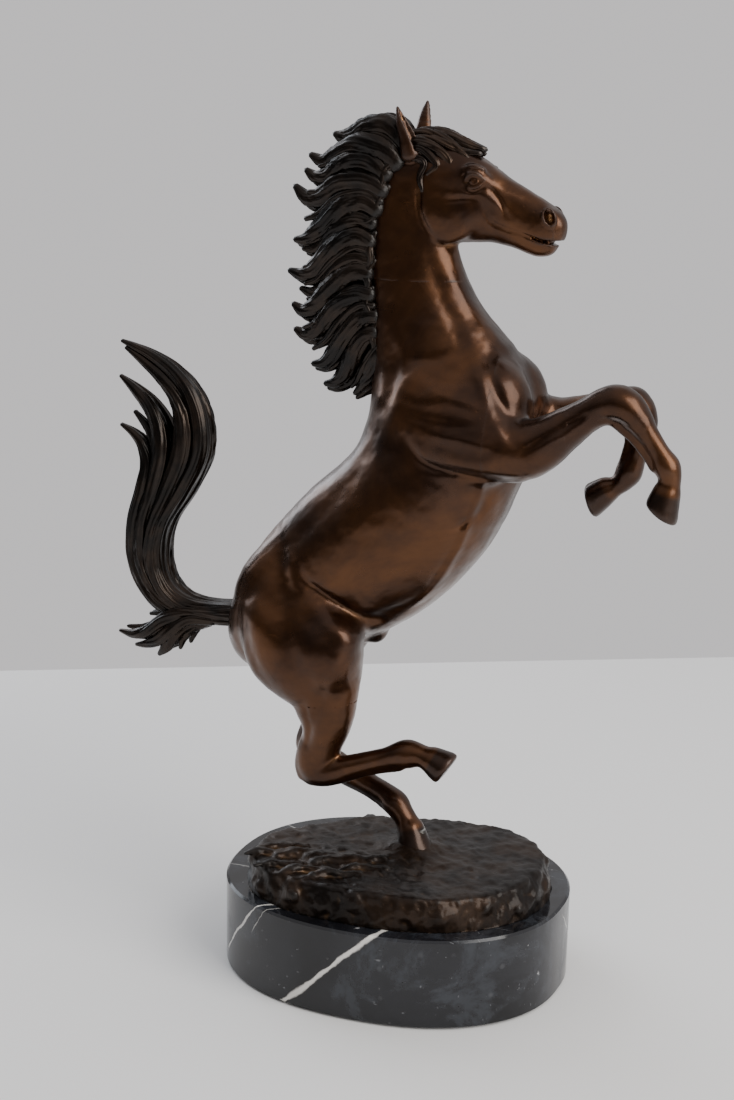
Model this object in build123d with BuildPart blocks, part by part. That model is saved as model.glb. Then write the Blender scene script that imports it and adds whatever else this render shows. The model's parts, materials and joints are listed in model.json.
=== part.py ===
from build123d import *
import math
import os

# A cast bronze statuette of a rearing horse. The horse stands on its left hind hoof on a
# rough bronze ground, and the ground is bolted to an oval black marble plinth with felt
# under it. The horse is cast in sections that meet at chased seams over dowels and sleeves.
#
# Millimetres. The origin is the centre of the underside, +X is the way the horse faces,
# +Y is its left side and +Z is up.

# ---------------------------------------------------------------- driving dimensions
PLINTH_LENGTH = 160.0
PLINTH_WIDTH = 132.0
FELT_THICKNESS = 1.5
PLINTH_TOP = 42.0
PLINTH_ROUNDNESS = 2.25
PLINTH_ARRIS = 1.0

GROUND_TOP = 58.0
GROUND_WALL = 4.0
CASTING_WALL = 3.5

STUD_RADIUS = 3.0
STUD_HOLE_RADIUS = 3.3
WASHER_RADIUS = 9.0
WASHER_THICKNESS = 1.6
NUT_ACROSS_FLATS = 10.0
NUT_HEIGHT = 5.0
COUNTERBORE_RADIUS = 11.0
COUNTERBORE_DEPTH = 14.0
STUD_PLACES = ((-34.0, -26.0), (44.0, -4.0))
BOSS_RADIUS = 8.0

HOOF_STUD_RADIUS = 2.5
HOOF_PLACE = (11.0, -2.0)
HOOF_STUD_TOP = 67.0
HOOF_NUT_ACROSS_FLATS = 8.0
HOOF_NUT_HEIGHT = 4.0
HOOF_WASHER_RADIUS = 6.0
HOOF_WASHER_THICKNESS = 1.0
HOOF_BOSS_RADIUS = 9.0
HOOF_BOSS_DEPTH = 4.0

os.makedirs("parts", exist_ok=True)


# ---------------------------------------------------------------- stations and lofts
# A station is (x, y, z, half depth, half width). The depth lies in the horse's upright
# middle plane, across the line through the stations, and the width lies along Y.
TORSO = (
    (-77.0, 0.0, 141.0, 11.0, 16.0),
    (-68.0, 0.0, 148.0, 22.0, 25.0),
    (-50.0, 0.0, 165.0, 31.0, 32.0),
    (-35.0, 0.0, 183.0, 34.5, 34.5),
    (-19.0, 0.0, 196.0, 38.0, 37.0),
    (-5.0, 0.0, 208.0, 38.0, 38.0),
    (7.0, 0.0, 222.0, 37.0, 37.0),
    (15.0, 0.0, 238.0, 36.5, 33.0),
    (21.0, 0.0, 254.0, 38.0, 30.5),
    (21.0, 0.0, 269.0, 36.0, 27.0),
    (13.5, 0.0, 287.0, 29.0, 20.5),
)
# The neck goes on from the torso's last station, where the two castings meet.
NECK = (
    (8.0, 0.0, 300.5, 24.5, 17.0),
    (3.5, 0.0, 315.0, 22.0, 15.0),
    (0.5, 0.0, 329.0, 20.0, 13.4),
    (-1.0, 0.0, 343.0, 18.0, 12.0),
    (-2.0, 0.0, 358.0, 13.0, 10.0),
    (-2.0, 0.0, 368.0, 8.0, 7.0),
)
HEAD = (
    (-5.0, 0.0, 362.0, 9.0, 7.0),
    (4.0, 0.0, 359.0, 17.5, 11.0),
    (14.0, 0.0, 355.0, 20.5, 12.8),
    (25.0, 0.0, 352.0, 18.5, 12.2),
    (37.0, 0.0, 348.8, 14.5, 9.8),
    (47.0, 0.0, 345.8, 12.2, 8.4),
    (55.5, 0.0, 343.0, 10.8, 8.0),
    (61.0, 0.0, 341.4, 9.0, 7.6),
    (65.5, 0.0, 340.0, 4.5, 5.0),
)
RIGHT_FORELEG = (
    (30.0, -19.0, 246.0, 18.0, 11.0),
    (46.0, -22.0, 248.5, 15.0, 13.0),
    (60.0, -23.0, 252.0, 12.0, 11.0),
    (74.0, -22.5, 261.0, 9.8, 9.0),
    (85.0, -22.0, 268.5, 7.5, 7.8),
    (95.0, -22.0, 273.5, 8.2, 8.2),
    (104.0, -22.0, 271.0, 6.6, 7.4),
    (110.0, -22.0, 263.5, 4.6, 5.2),
    (116.0, -22.0, 255.5, 4.4, 5.0),
    (120.0, -22.0, 248.0, 5.8, 6.4),
    (121.5, -22.0, 242.0, 4.2, 5.2),
    (120.0, -22.0, 237.0, 6.5, 7.2),
    (116.0, -22.0, 229.0, 7.5, 8.2),
)
LEFT_FORELEG = (
    (30.0, 19.0, 248.0, 18.0, 11.0),
    (44.0, 23.0, 250.5, 15.0, 12.5),
    (58.0, 24.0, 255.0, 12.0, 10.5),
    (74.0, 24.0, 261.5, 8.5, 8.8),
    (84.0, 24.0, 265.0, 7.4, 7.8),
    (93.0, 24.0, 266.5, 8.2, 8.2),
    (99.5, 24.0, 262.0, 7.2, 7.4),
    (100.0, 24.0, 254.0, 4.9, 5.2),
    (97.5, 24.0, 246.0, 4.4, 5.0),
    (94.5, 24.0, 236.0, 5.8, 6.4),
    (90.0, 24.0, 229.5, 4.4, 5.2),
    (84.0, 24.0, 226.5, 6.5, 7.2),
    (76.0, 24.0, 222.0, 7.5, 8.2),
)
RIGHT_HINDLEG = (
    (-50.0, -18.0, 175.0, 20.0, 12.0),
    (-43.0, -23.0, 163.0, 27.0, 15.0),
    (-34.0, -26.0, 147.0, 25.0, 15.0),
    (-26.0, -26.0, 131.0, 15.0, 12.5),
    (-26.5, -26.0, 120.0, 11.5, 10.5),
    (-30.0, -26.0, 110.0, 9.0, 8.8),
    (-31.0, -26.0, 102.0, 9.5, 8.0),
    (-24.0, -26.0, 99.5, 8.0, 7.2),
    (-14.0, -26.0, 103.0, 6.0, 6.0),
    (1.0, -26.0, 108.5, 6.0, 6.0),
    (11.5, -26.0, 112.0, 7.2, 7.0),
    (19.0, -26.0, 112.0, 5.2, 5.8),
    (25.0, -26.0, 110.5, 7.2, 7.6),
    (32.0, -26.0, 105.5, 8.2, 8.6),
)
LEFT_HINDLEG = (
    (-53.0, 18.0, 169.0, 19.0, 12.0),
    (-49.0, 21.0, 156.0, 24.0, 14.5),
    (-46.0, 22.5, 140.0, 20.0, 14.0),
    (-44.0, 22.0, 125.0, 14.5, 12.0),
    (-46.0, 20.0, 110.0, 11.0, 10.5),
    (-46.5, 14.0, 89.0, 9.5, 8.4),
    (-36.0, 12.0, 86.0, 8.0, 7.4),
    (-22.0, 8.0, 83.0, 6.4, 6.2),
    (-10.0, 5.0, 79.0, 6.6, 6.2),
    (-1.0, 2.0, 75.5, 7.4, 7.2),
    (5.0, 0.0, 70.5, 6.2, 6.4),
    (9.0, -1.0, 65.5, 7.6, 8.0),
    (11.0, -2.0, 56.0, 9.8, 9.8),
)
TAIL = (
    (-76.0, 0.0, 160.0, 8.0, 8.0),
    (-86.0, 0.0, 160.5, 7.0, 7.5),
    (-98.0, 0.0, 158.0, 6.5, 7.0),
    (-112.0, 0.0, 157.5, 9.0, 8.5),
    (-123.0, 0.0, 167.0, 11.5, 9.5),
    (-128.0, 0.0, 183.0, 13.0, 9.5),
    (-125.5, 0.0, 200.0, 13.5, 9.5),
    (-118.0, 0.0, 217.0, 15.0, 9.5),
    (-112.0, 0.0, 234.0, 17.5, 9.0),
    (-111.0, 0.0, 250.0, 14.0, 8.0),
    (-114.0, 0.0, 262.0, 9.5, 6.5),
    (-121.0, 0.0, 271.0, 6.0, 4.5),
    (-131.0, 0.0, 277.5, 3.5, 3.0),
    (-139.0, 0.0, 281.0, 1.5, 1.5),
)
# Locks that stand off the tail's main curl, each from its root to its tip.
TAIL_LOCKS = (
    (
        (-114.0, 0.0, 254.0, 10.0, 5.0),
        (-127.0, 0.0, 260.0, 6.5, 4.0),
        (-139.5, 0.0, 265.5, 1.5, 1.5),
    ),
    (
        (-112.0, 0.0, 240.0, 10.0, 5.0),
        (-123.0, 0.0, 244.5, 6.5, 4.0),
        (-133.0, 0.0, 250.0, 1.5, 1.5),
    ),
    (
        (-118.0, 0.0, 226.0, 10.0, 5.0),
        (-131.0, 0.0, 233.0, 6.5, 4.0),
        (-140.0, 0.0, 243.0, 1.5, 1.5),
    ),
    (
        (-112.0, 0.0, 160.0, 11.0, 6.5),
        (-121.0, 0.0, 150.0, 8.5, 5.0),
        (-131.0, 0.0, 143.0, 5.0, 3.5),
        (-140.0, 0.0, 143.5, 1.5, 1.5),
    ),
    (
        (-104.0, 0.0, 157.0, 9.0, 6.5),
        (-109.0, 0.0, 147.0, 7.5, 5.0),
        (-115.0, 0.0, 138.0, 2.0, 2.0),
    ),
)
FORELOCK = (
    (-8.0, 0.0, 379.0, 4.0, 5.0),
    (2.0, 0.0, 381.5, 5.0, 7.5),
    (12.0, 0.0, 380.5, 5.0, 7.5),
    (22.0, 0.0, 376.0, 4.5, 6.0),
    (31.0, 0.0, 371.5, 1.5, 2.0),
)
EARS = {
    -1: ((1.0, -8.0, 371.0, 6.0, 4.5), (-1.0, -10.0, 380.0, 5.0, 4.2), (-4.5, -11.0, 390.0, 1.0, 1.0)),
    1: ((2.0, 8.0, 371.0, 6.0, 4.5), (1.0, 10.0, 381.0, 5.0, 4.2), (1.0, 11.0, 393.0, 1.0, 1.0)),
}
# The mane's outline in the middle plane: along the crest, then from tip to notch down the
# back. Each tip is the end of one wind-blown lock.
MANE_OUTLINE = (
    (4.0, 374.0), (-3.0, 382.0), (-14.0, 384.5), (-25.0, 381.0), (-36.0, 377.0),
    (-29.0, 371.0), (-47.0, 367.5), (-40.0, 362.5), (-53.0, 355.0), (-43.0, 345.0),
    (-54.0, 331.0), (-42.0, 323.0), (-56.0, 317.5), (-46.0, 312.0), (-50.0, 309.5),
    (-39.0, 304.0), (-54.0, 301.0), (-46.0, 294.0), (-52.0, 290.0), (-35.0, 284.0),
    (-44.0, 276.0), (-30.0, 274.5), (-38.0, 268.0), (-24.0, 266.0), (-16.0, 264.5),
    (0.0, 290.0), (0.0, 320.0), (0.0, 350.0),
)
MANE_THICKNESS = 16.0
# The bronze ground seen from above.
GROUND_OUTLINE = (
    (-64.0, -24.0), (-52.0, -45.0), (-28.0, -56.0), (4.0, -58.5), (36.0, -53.0),
    (58.0, -40.0), (71.0, -18.0), (71.0, 10.0), (56.0, 30.0), (28.0, 37.0),
    (0.0, 32.0), (-24.0, 19.0), (-46.0, 6.0), (-61.0, -7.0),
)
CAVITY_MARGIN = 2


def station_plane(stations, index):
    """The plane across the line of stations at one of them, with its x along the width."""
    ahead = stations[min(index + 1, len(stations) - 1)]
    behind = stations[max(index - 1, 0)]
    along = Vector(ahead[0] - behind[0], ahead[1] - behind[1], ahead[2] - behind[2])
    across = Vector(0, 1, 0)
    across = across - along * (across.dot(along) / along.dot(along))
    return Plane(origin=stations[index][:3], x_dir=across, z_dir=along)


def sections(stations, inset=0.0):
    """One elliptical sketch for each station, smaller by the inset."""
    made = []
    for index, (_, _, _, half_depth, half_width) in enumerate(stations):
        with BuildSketch(station_plane(stations, index)) as section:
            Ellipse(half_width - inset, half_depth - inset)
        made.append(section.sketch)
    return made


def filled(sketches):
    """A closed solid lofted through sketches, made outside the part that uses it."""
    with BuildPart() as body:
        loft(sketches)
    return body.part


def largest(shape):
    """The biggest solid of a shape, which drops slivers left by a cut."""
    return shape.solids().sort_by(SortBy.VOLUME)[-1]


def dowel_plane(start, end):
    """A plane at start whose normal points to end."""
    return Plane(origin=start, z_dir=Vector(*end) - Vector(*start))


def dowel(start, end, radius):
    """A round bar between two points."""
    with BuildPart() as bar:
        with BuildSketch(dowel_plane(start, end)):
            Circle(radius)
        extrude(amount=(Vector(*end) - Vector(*start)).length)
    return bar.part


def tube(start, end, radius, bore):
    """A round tube between two points."""
    with BuildPart() as bar:
        with BuildSketch(dowel_plane(start, end)):
            Circle(radius)
            Circle(bore, mode=Mode.SUBTRACT)
        extrude(amount=(Vector(*end) - Vector(*start)).length)
    return bar.part


def save(part, name):
    part.label = name
    export_step(part, f"parts/{name}.step")


# ---------------------------------------------------------------- plinth and its felt
OVAL_POINTS = 24


def oval_points(length, width):
    """Points around a full oval that is squarer than an ellipse."""
    power = 2.0 / PLINTH_ROUNDNESS
    places = []
    for step in range(OVAL_POINTS):
        angle = 2.0 * math.pi * step / OVAL_POINTS
        reach, side = math.cos(angle), math.sin(angle)
        x = math.copysign(abs(reach) ** power, reach) * length / 2
        y = math.copysign(abs(side) ** power, side) * width / 2
        places.append((x, y))
    return places


with BuildPart() as marble_plinth:
    with BuildSketch(Plane.XY.offset(FELT_THICKNESS)):
        with BuildLine():
            Spline(oval_points(PLINTH_LENGTH, PLINTH_WIDTH), periodic=True)
        make_face()
    extrude(amount=PLINTH_TOP - FELT_THICKNESS)
    chamfer(marble_plinth.faces().sort_by(Axis.Z)[-1].edges(), PLINTH_ARRIS)
    with Locations(Plane.XY.offset(FELT_THICKNESS)):
        with Locations(*STUD_PLACES):
            Cylinder(
                COUNTERBORE_RADIUS,
                COUNTERBORE_DEPTH,
                align=(Align.CENTER, Align.CENTER, Align.MIN),
                mode=Mode.SUBTRACT,
            )
            Cylinder(
                STUD_HOLE_RADIUS,
                PLINTH_TOP,
                align=(Align.CENTER, Align.CENTER, Align.MIN),
                mode=Mode.SUBTRACT,
            )
save(marble_plinth.part, "marble_plinth")

FELT_MARGIN = 6.0
with BuildPart() as plinth_felt:
    with BuildSketch():
        with BuildLine():
            Spline(oval_points(PLINTH_LENGTH - FELT_MARGIN, PLINTH_WIDTH - FELT_MARGIN), periodic=True)
        make_face()
    extrude(amount=FELT_THICKNESS)
save(plinth_felt.part, "plinth_felt")


# ---------------------------------------------------------------- bronze ground
def ground_section(height, scale):
    """The ground's outline at one height, drawn in towards its middle by the scale."""
    middle_x = sum(x for x, _ in GROUND_OUTLINE) / len(GROUND_OUTLINE)
    middle_y = sum(y for _, y in GROUND_OUTLINE) / len(GROUND_OUTLINE)
    places = [
        (middle_x + (x - middle_x) * scale, middle_y + (y - middle_y) * scale)
        for x, y in GROUND_OUTLINE
    ]
    with BuildSketch(Plane.XY.offset(height)) as section:
        with BuildLine():
            Spline(places, periodic=True)
        make_face()
    return section.sketch


GROUND_DECK = GROUND_TOP - GROUND_WALL
GROUND_TAPER = 0.955
GROUND_INSET = 0.9
GROUND_CAVITY_TAPER = 0.97
BOSS_RECESS = 1.0
with BuildPart() as ground_casting:
    loft([ground_section(PLINTH_TOP, 1.0), ground_section(GROUND_TOP, GROUND_TAPER)])
    loft(
        [
            ground_section(PLINTH_TOP, GROUND_INSET),
            ground_section(GROUND_DECK, GROUND_INSET * GROUND_CAVITY_TAPER),
        ],
        mode=Mode.SUBTRACT,
    )
    with BuildSketch(Plane.XY.offset(PLINTH_TOP)):
        with Locations(*STUD_PLACES):
            Circle(BOSS_RADIUS)
    extrude(amount=GROUND_TOP - PLINTH_TOP - BOSS_RECESS)
    with BuildSketch(Plane.XY.offset(GROUND_DECK - HOOF_BOSS_DEPTH)):
        with Locations(HOOF_PLACE):
            Circle(HOOF_BOSS_RADIUS)
    extrude(amount=HOOF_BOSS_DEPTH + GROUND_WALL / 2)
    with BuildSketch(Plane.XY.offset(PLINTH_TOP)):
        with Locations(*STUD_PLACES):
            Circle(STUD_RADIUS)
    extrude(amount=GROUND_DECK - PLINTH_TOP, mode=Mode.SUBTRACT)
    with BuildSketch(Plane.XY.offset(PLINTH_TOP)):
        with Locations(HOOF_PLACE):
            Circle(HOOF_STUD_RADIUS)
    extrude(amount=GROUND_TOP, mode=Mode.SUBTRACT)
save(ground_casting.part, "ground_casting")

# ---------------------------------------------------------------- fixings under the ground
COUNTERBORE_ROOF = FELT_THICKNESS + COUNTERBORE_DEPTH
NUT_FACE = COUNTERBORE_ROOF - WASHER_THICKNESS
STUD_TIP = 2.0
STUD_CHAMFER = 0.5
STUD_FOOT = NUT_FACE - NUT_HEIGHT - STUD_TIP
with BuildPart() as mounting_studs:
    with BuildSketch(Plane.XY.offset(STUD_FOOT)):
        with Locations(*STUD_PLACES):
            Circle(STUD_RADIUS)
    extrude(amount=GROUND_DECK - STUD_FOOT)
    chamfer(mounting_studs.edges().filter_by(GeomType.CIRCLE).group_by(Axis.Z)[0], STUD_CHAMFER)
save(mounting_studs.part, "mounting_studs")

with BuildPart() as mounting_washers:
    with BuildSketch(Plane.XY.offset(NUT_FACE)):
        with Locations(*STUD_PLACES):
            Circle(WASHER_RADIUS)
            Circle(STUD_HOLE_RADIUS, mode=Mode.SUBTRACT)
    extrude(amount=WASHER_THICKNESS)
save(mounting_washers.part, "mounting_washers")

with BuildPart() as mounting_nuts:
    with BuildSketch(Plane.XY.offset(NUT_FACE - NUT_HEIGHT)):
        with Locations(*STUD_PLACES):
            RegularPolygon(NUT_ACROSS_FLATS / 2, 6, major_radius=False)
            Circle(STUD_RADIUS, mode=Mode.SUBTRACT)
    extrude(amount=NUT_HEIGHT)
save(mounting_nuts.part, "mounting_nuts")

HOOF_SEAT = GROUND_DECK - HOOF_BOSS_DEPTH
HOOF_NUT_FACE = HOOF_SEAT - HOOF_WASHER_THICKNESS
HOOF_STUD_TIP = 1.0
HOOF_STUD_FOOT = HOOF_NUT_FACE - HOOF_NUT_HEIGHT - HOOF_STUD_TIP
with BuildPart() as hoof_stud:
    with BuildSketch(Plane.XY.offset(HOOF_STUD_FOOT)):
        with Locations(HOOF_PLACE):
            Circle(HOOF_STUD_RADIUS)
    extrude(amount=HOOF_STUD_TOP - HOOF_STUD_FOOT)
save(hoof_stud.part, "hoof_stud")

with BuildPart() as hoof_washer:
    with BuildSketch(Plane.XY.offset(HOOF_NUT_FACE)):
        with Locations(HOOF_PLACE):
            Circle(HOOF_WASHER_RADIUS)
            Circle(HOOF_STUD_RADIUS, mode=Mode.SUBTRACT)
    extrude(amount=HOOF_WASHER_THICKNESS)
save(hoof_washer.part, "hoof_washer")

with BuildPart() as hoof_nut:
    with BuildSketch(Plane.XY.offset(HOOF_NUT_FACE - HOOF_NUT_HEIGHT)):
        with Locations(HOOF_PLACE):
            RegularPolygon(HOOF_NUT_ACROSS_FLATS / 2, 6, major_radius=False)
            Circle(HOOF_STUD_RADIUS, mode=Mode.SUBTRACT)
    extrude(amount=HOOF_NUT_HEIGHT)
save(hoof_nut.part, "hoof_nut")

# ---------------------------------------------------------------- dowels and sleeves
DOWEL_RADIUS = 4.0
SMALL_DOWEL_RADIUS = 3.0
PLUG_RADIUS = 2.5
SLEEVE_WALL = 2.0
HINDLEG_DOWELS = (((-40.0, -12.0, 168.0), (-38.0, -32.0, 152.0)), ((-40.0, 12.0, 166.0), (-41.0, 30.0, 150.0)))
FORELEG_DOWELS = (((26.0, -12.0, 246.0), (60.0, -23.0, 252.0)), ((26.0, 12.0, 248.0), (60.0, 24.0, 255.0)))
TAIL_DOWEL = ((-66.0, 0.0, 158.0), (-96.0, 0.0, 159.0))
MANE_DOWELS = (((3.0, 0.0, 331.0), (-32.0, 0.0, 336.0)), ((8.0, 0.0, 305.0), (-26.0, 0.0, 310.0)))
NECK_SLEEVE_REACH = 7.0
NECK_SLEEVE_DISC = 60.0
NECK_SLEEVE_BORE_WIDTH = 25.0
NECK_SLEEVE_BORE_DEPTH = 40.0
HEAD_SLEEVE = ((1.0, 0.0, 336.0), (6.0, 0.0, 356.0))
HEAD_SLEEVE_RADIUS = 8.0
CORE_PLUGS = (
    ((0.0, 0.0, 210.0), (-32.0, 0.0, 236.0)),
    ((-20.0, 0.0, 196.0), (14.0, 0.0, 166.0)),
    ((0.0, 0.0, 215.0), (0.0, -45.0, 215.0)),
    ((0.0, 0.0, 215.0), (0.0, 45.0, 215.0)),
)

hindleg_bars = [dowel(start, end, DOWEL_RADIUS) for start, end in HINDLEG_DOWELS]
foreleg_bars = [dowel(start, end, DOWEL_RADIUS) for start, end in FORELEG_DOWELS]
mane_bars = [dowel(start, end, SMALL_DOWEL_RADIUS) for start, end in MANE_DOWELS]
tail_bar = dowel(*TAIL_DOWEL, SMALL_DOWEL_RADIUS)
head_tube = tube(*HEAD_SLEEVE, HEAD_SLEEVE_RADIUS, HEAD_SLEEVE_RADIUS - SLEEVE_WALL)
head_bar = dowel(*HEAD_SLEEVE, HEAD_SLEEVE_RADIUS)

TRUNK = TORSO + NECK
SEAM = len(TORSO) - 1
trunk_outer = sections(TRUNK)
trunk_inner = sections(TRUNK, CASTING_WALL)
torso_outside = filled(trunk_outer[: SEAM + 1])
torso_cavity = filled(trunk_inner[1 : SEAM + 1])
neck_outside = filled(trunk_outer[SEAM:])
neck_cavity = filled(trunk_inner[SEAM:-CAVITY_MARGIN])
head_outside = filled(sections(HEAD))
head_cavity = filled(sections(HEAD, CASTING_WALL)[1:-CAVITY_MARGIN])

with BuildPart() as neck_sleeve:
    add([torso_cavity, neck_cavity])
    with BuildSketch(station_plane(TRUNK, SEAM)):
        Circle(NECK_SLEEVE_DISC)
    extrude(amount=NECK_SLEEVE_REACH, both=True, mode=Mode.INTERSECT)
    with BuildSketch(station_plane(TRUNK, SEAM)):
        Ellipse(NECK_SLEEVE_BORE_WIDTH / 2, NECK_SLEEVE_BORE_DEPTH / 2)
    extrude(amount=NECK_SLEEVE_DISC, both=True, mode=Mode.SUBTRACT)
save(largest(neck_sleeve.part), "neck_sleeve")

for name, bars in (
    ("hindleg_dowels", hindleg_bars),
    ("foreleg_dowels", foreleg_bars),
    ("mane_dowels", mane_bars),
    ("tail_dowel", [tail_bar]),
    ("head_sleeve", [head_tube]),
):
    with BuildPart() as fitting:
        add(bars)
    save(fitting.part, name)

# ---------------------------------------------------------------- hollow torso
with BuildPart() as core_plugs:
    for start, end in CORE_PLUGS:
        add(dowel(start, end, PLUG_RADIUS))
    add(torso_outside, mode=Mode.INTERSECT)
    add(torso_cavity, mode=Mode.SUBTRACT)
save(core_plugs.part, "core_plugs")

with BuildPart() as torso_casting:
    add(torso_outside)
    add(torso_cavity, mode=Mode.SUBTRACT)
    add([*hindleg_bars, *foreleg_bars, tail_bar], mode=Mode.SUBTRACT)
    for start, end in CORE_PLUGS:
        add(dowel(start, end, PLUG_RADIUS), mode=Mode.SUBTRACT)
save(largest(torso_casting.part), "torso_casting")

# ---------------------------------------------------------------- head, ears and neck
MOUTH_WIDTH = 24.0
MOUTH_GAP = 1.6
with BuildPart() as head_casting:
    add(head_outside)
    for ear in EARS.values():
        loft(sections(ear))
    add(head_cavity, mode=Mode.SUBTRACT)
    add(head_bar, mode=Mode.SUBTRACT)
    with BuildSketch(Plane.XZ.offset(-MOUTH_WIDTH / 2)):
        with BuildLine():
            Polyline((48.0, 337.0), (72.0, 334.0), (72.0, 334.0 + MOUTH_GAP), close=True)
        make_face()
    extrude(amount=MOUTH_WIDTH, mode=Mode.SUBTRACT)
save(largest(head_casting.part), "head_casting")

with BuildPart() as neck_casting:
    add(neck_outside)
    add([head_outside, neck_cavity, head_bar], mode=Mode.SUBTRACT)
    add(mane_bars, mode=Mode.SUBTRACT)
save(largest(neck_casting.part), "neck_casting")


# ---------------------------------------------------------------- legs
def leg(stations, bar):
    """A solid leg, cut to the torso where the two meet and bored for its dowel."""
    with BuildPart() as limb:
        loft(sections(stations))
        add(torso_outside, mode=Mode.SUBTRACT)
        add(bar, mode=Mode.SUBTRACT)
    return largest(limb.part)


save(leg(RIGHT_FORELEG, foreleg_bars[0]), "right_foreleg_casting")
save(leg(LEFT_FORELEG, foreleg_bars[1]), "left_foreleg_casting")
save(leg(RIGHT_HINDLEG, hindleg_bars[0]), "right_hindleg_casting")

with BuildPart() as left_hindleg_casting:
    add(leg(LEFT_HINDLEG, hindleg_bars[1]))
    split(bisect_by=Plane.XY.offset(GROUND_TOP), keep=Keep.TOP)
    with BuildSketch(Plane.XY.offset(GROUND_TOP)):
        with Locations(HOOF_PLACE):
            Circle(HOOF_STUD_RADIUS)
    extrude(amount=HOOF_STUD_TOP - GROUND_TOP, mode=Mode.SUBTRACT)
save(largest(left_hindleg_casting.part), "left_hindleg_casting")

# ---------------------------------------------------------------- tail, mane and forelock
with BuildPart() as tail_casting:
    loft(sections(TAIL))
    for lock in TAIL_LOCKS:
        loft(sections(lock))
    add([torso_outside, tail_bar], mode=Mode.SUBTRACT)
save(largest(tail_casting.part), "tail_casting")

with BuildPart() as mane_casting:
    with BuildSketch(Plane.XZ.offset(-MANE_THICKNESS / 2)):
        with BuildLine():
            Polyline(*MANE_OUTLINE, close=True)
        make_face()
    extrude(amount=MANE_THICKNESS)
    add([neck_outside, head_outside, torso_outside], mode=Mode.SUBTRACT)
    add([head_casting.part, *mane_bars], mode=Mode.SUBTRACT)
save(largest(mane_casting.part), "mane_casting")

with BuildPart() as forelock_casting:
    loft(sections(FORELOCK))
    add([head_casting.part, mane_casting.part, neck_outside, head_outside], mode=Mode.SUBTRACT)
save(largest(forelock_casting.part), "forelock_casting")
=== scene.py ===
import json
import math

import bmesh
import bpy
import numpy as np
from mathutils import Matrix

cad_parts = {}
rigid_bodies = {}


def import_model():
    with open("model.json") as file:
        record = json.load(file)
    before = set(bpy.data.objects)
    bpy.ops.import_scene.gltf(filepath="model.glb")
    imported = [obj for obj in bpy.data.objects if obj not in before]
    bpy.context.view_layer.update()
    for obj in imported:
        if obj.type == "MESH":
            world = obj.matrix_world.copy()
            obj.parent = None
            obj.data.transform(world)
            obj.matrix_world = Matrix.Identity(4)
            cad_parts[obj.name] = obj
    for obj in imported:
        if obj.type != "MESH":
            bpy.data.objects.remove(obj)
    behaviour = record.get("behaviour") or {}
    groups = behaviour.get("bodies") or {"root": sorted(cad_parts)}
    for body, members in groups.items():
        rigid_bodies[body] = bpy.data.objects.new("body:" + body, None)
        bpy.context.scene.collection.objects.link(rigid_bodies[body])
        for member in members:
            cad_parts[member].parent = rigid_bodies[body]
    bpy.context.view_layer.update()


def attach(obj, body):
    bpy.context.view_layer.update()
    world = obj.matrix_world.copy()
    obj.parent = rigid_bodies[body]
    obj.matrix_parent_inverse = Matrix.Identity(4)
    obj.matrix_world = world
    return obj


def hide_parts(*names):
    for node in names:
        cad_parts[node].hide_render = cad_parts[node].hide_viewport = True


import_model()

import openvdb as vdb
from mathutils import Matrix, Vector

# A rearing bronze horse on a rough bronze ground and an oval black marble plinth. Shapes are
# given in millimetres, like the castings' drawings, and turned into metres as they are made.
MM = 0.001
ROOT = "root"
RIGHT, LEFT = -1.0, 1.0
# The clay keeps distances to its surface no further off than this.
FAR = 6.0
# The grid of every block of clay is made coarser by this factor.
COARSE = 1.0


# ---------------------------------------------------------------- camera
# Angles in degrees: round from the statue's right side towards its head, above level, and roll.
CAMERA_AZIMUTH = 20.0
CAMERA_PITCH = 14.0
CAMERA_ROLL = 1.0
CAMERA_DISTANCE = 0.85
CAMERA_TARGET = Vector((-0.0317, 0.0378, 0.1860))
CAMERA_LENS = 58.9


def place_camera():
    """A long lens on the statue's right side, a little above it and towards its head."""
    azimuth, pitch = math.radians(CAMERA_AZIMUTH), math.radians(CAMERA_PITCH)
    back = Vector((
        math.sin(azimuth) * math.cos(pitch),
        -math.cos(azimuth) * math.cos(pitch),
        math.sin(pitch),
    ))
    turn = back.to_track_quat("Z", "Y").to_matrix().to_4x4()
    roll = Matrix.Rotation(math.radians(CAMERA_ROLL), 4, "Z")
    camera = bpy.data.objects.new("camera", bpy.data.cameras.new("camera"))
    camera.data.lens = CAMERA_LENS
    camera.matrix_world = Matrix.Translation(CAMERA_TARGET + back * CAMERA_DISTANCE) @ turn @ roll
    bpy.context.scene.collection.objects.link(camera)
    bpy.context.scene.camera = camera


place_camera()


# ---------------------------------------------------------------- modelling clay
# The horse is modelled as clay: a block of space where each point holds its distance to the
# surface, less than zero inside. Masses are pressed together with soft or hard joins, strokes
# of a tool cut creases or raise ridges, and the surface is then lifted off as a mesh.
def spline(points, per_span):
    """A smooth curve through the rows of points, which may carry sizes as well as places."""
    points = np.array(points, float)
    ends = np.vstack([2 * points[0] - points[1], points, 2 * points[-1] - points[-2]])
    steps = np.linspace(0, 1, per_span, endpoint=False)[:, None]
    spans = []
    for before, start, end, after in zip(ends, ends[1:], ends[2:], ends[3:]):
        spans.append(
            0.5 * (
                2 * start
                + (end - before) * steps
                + (2 * before - 5 * start + 4 * end - after) * steps**2
                + (3 * start - before - 3 * end + after) * steps**3
            )
        )
    return np.vstack([*spans, points[-1:]])


def unit(rows):
    """The rows at a length of one."""
    rows = np.asarray(rows, float)
    return rows / np.maximum(np.linalg.norm(rows, axis=-1, keepdims=True), 1e-9)


def soft_union(a, b, blend):
    """The union of two distances with a fillet of about the blend's size."""
    if blend <= 0:
        return np.minimum(a, b)
    gap = np.maximum(blend - np.abs(a - b), 0) / blend
    return np.minimum(a, b) - gap * gap * blend * 0.25


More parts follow.
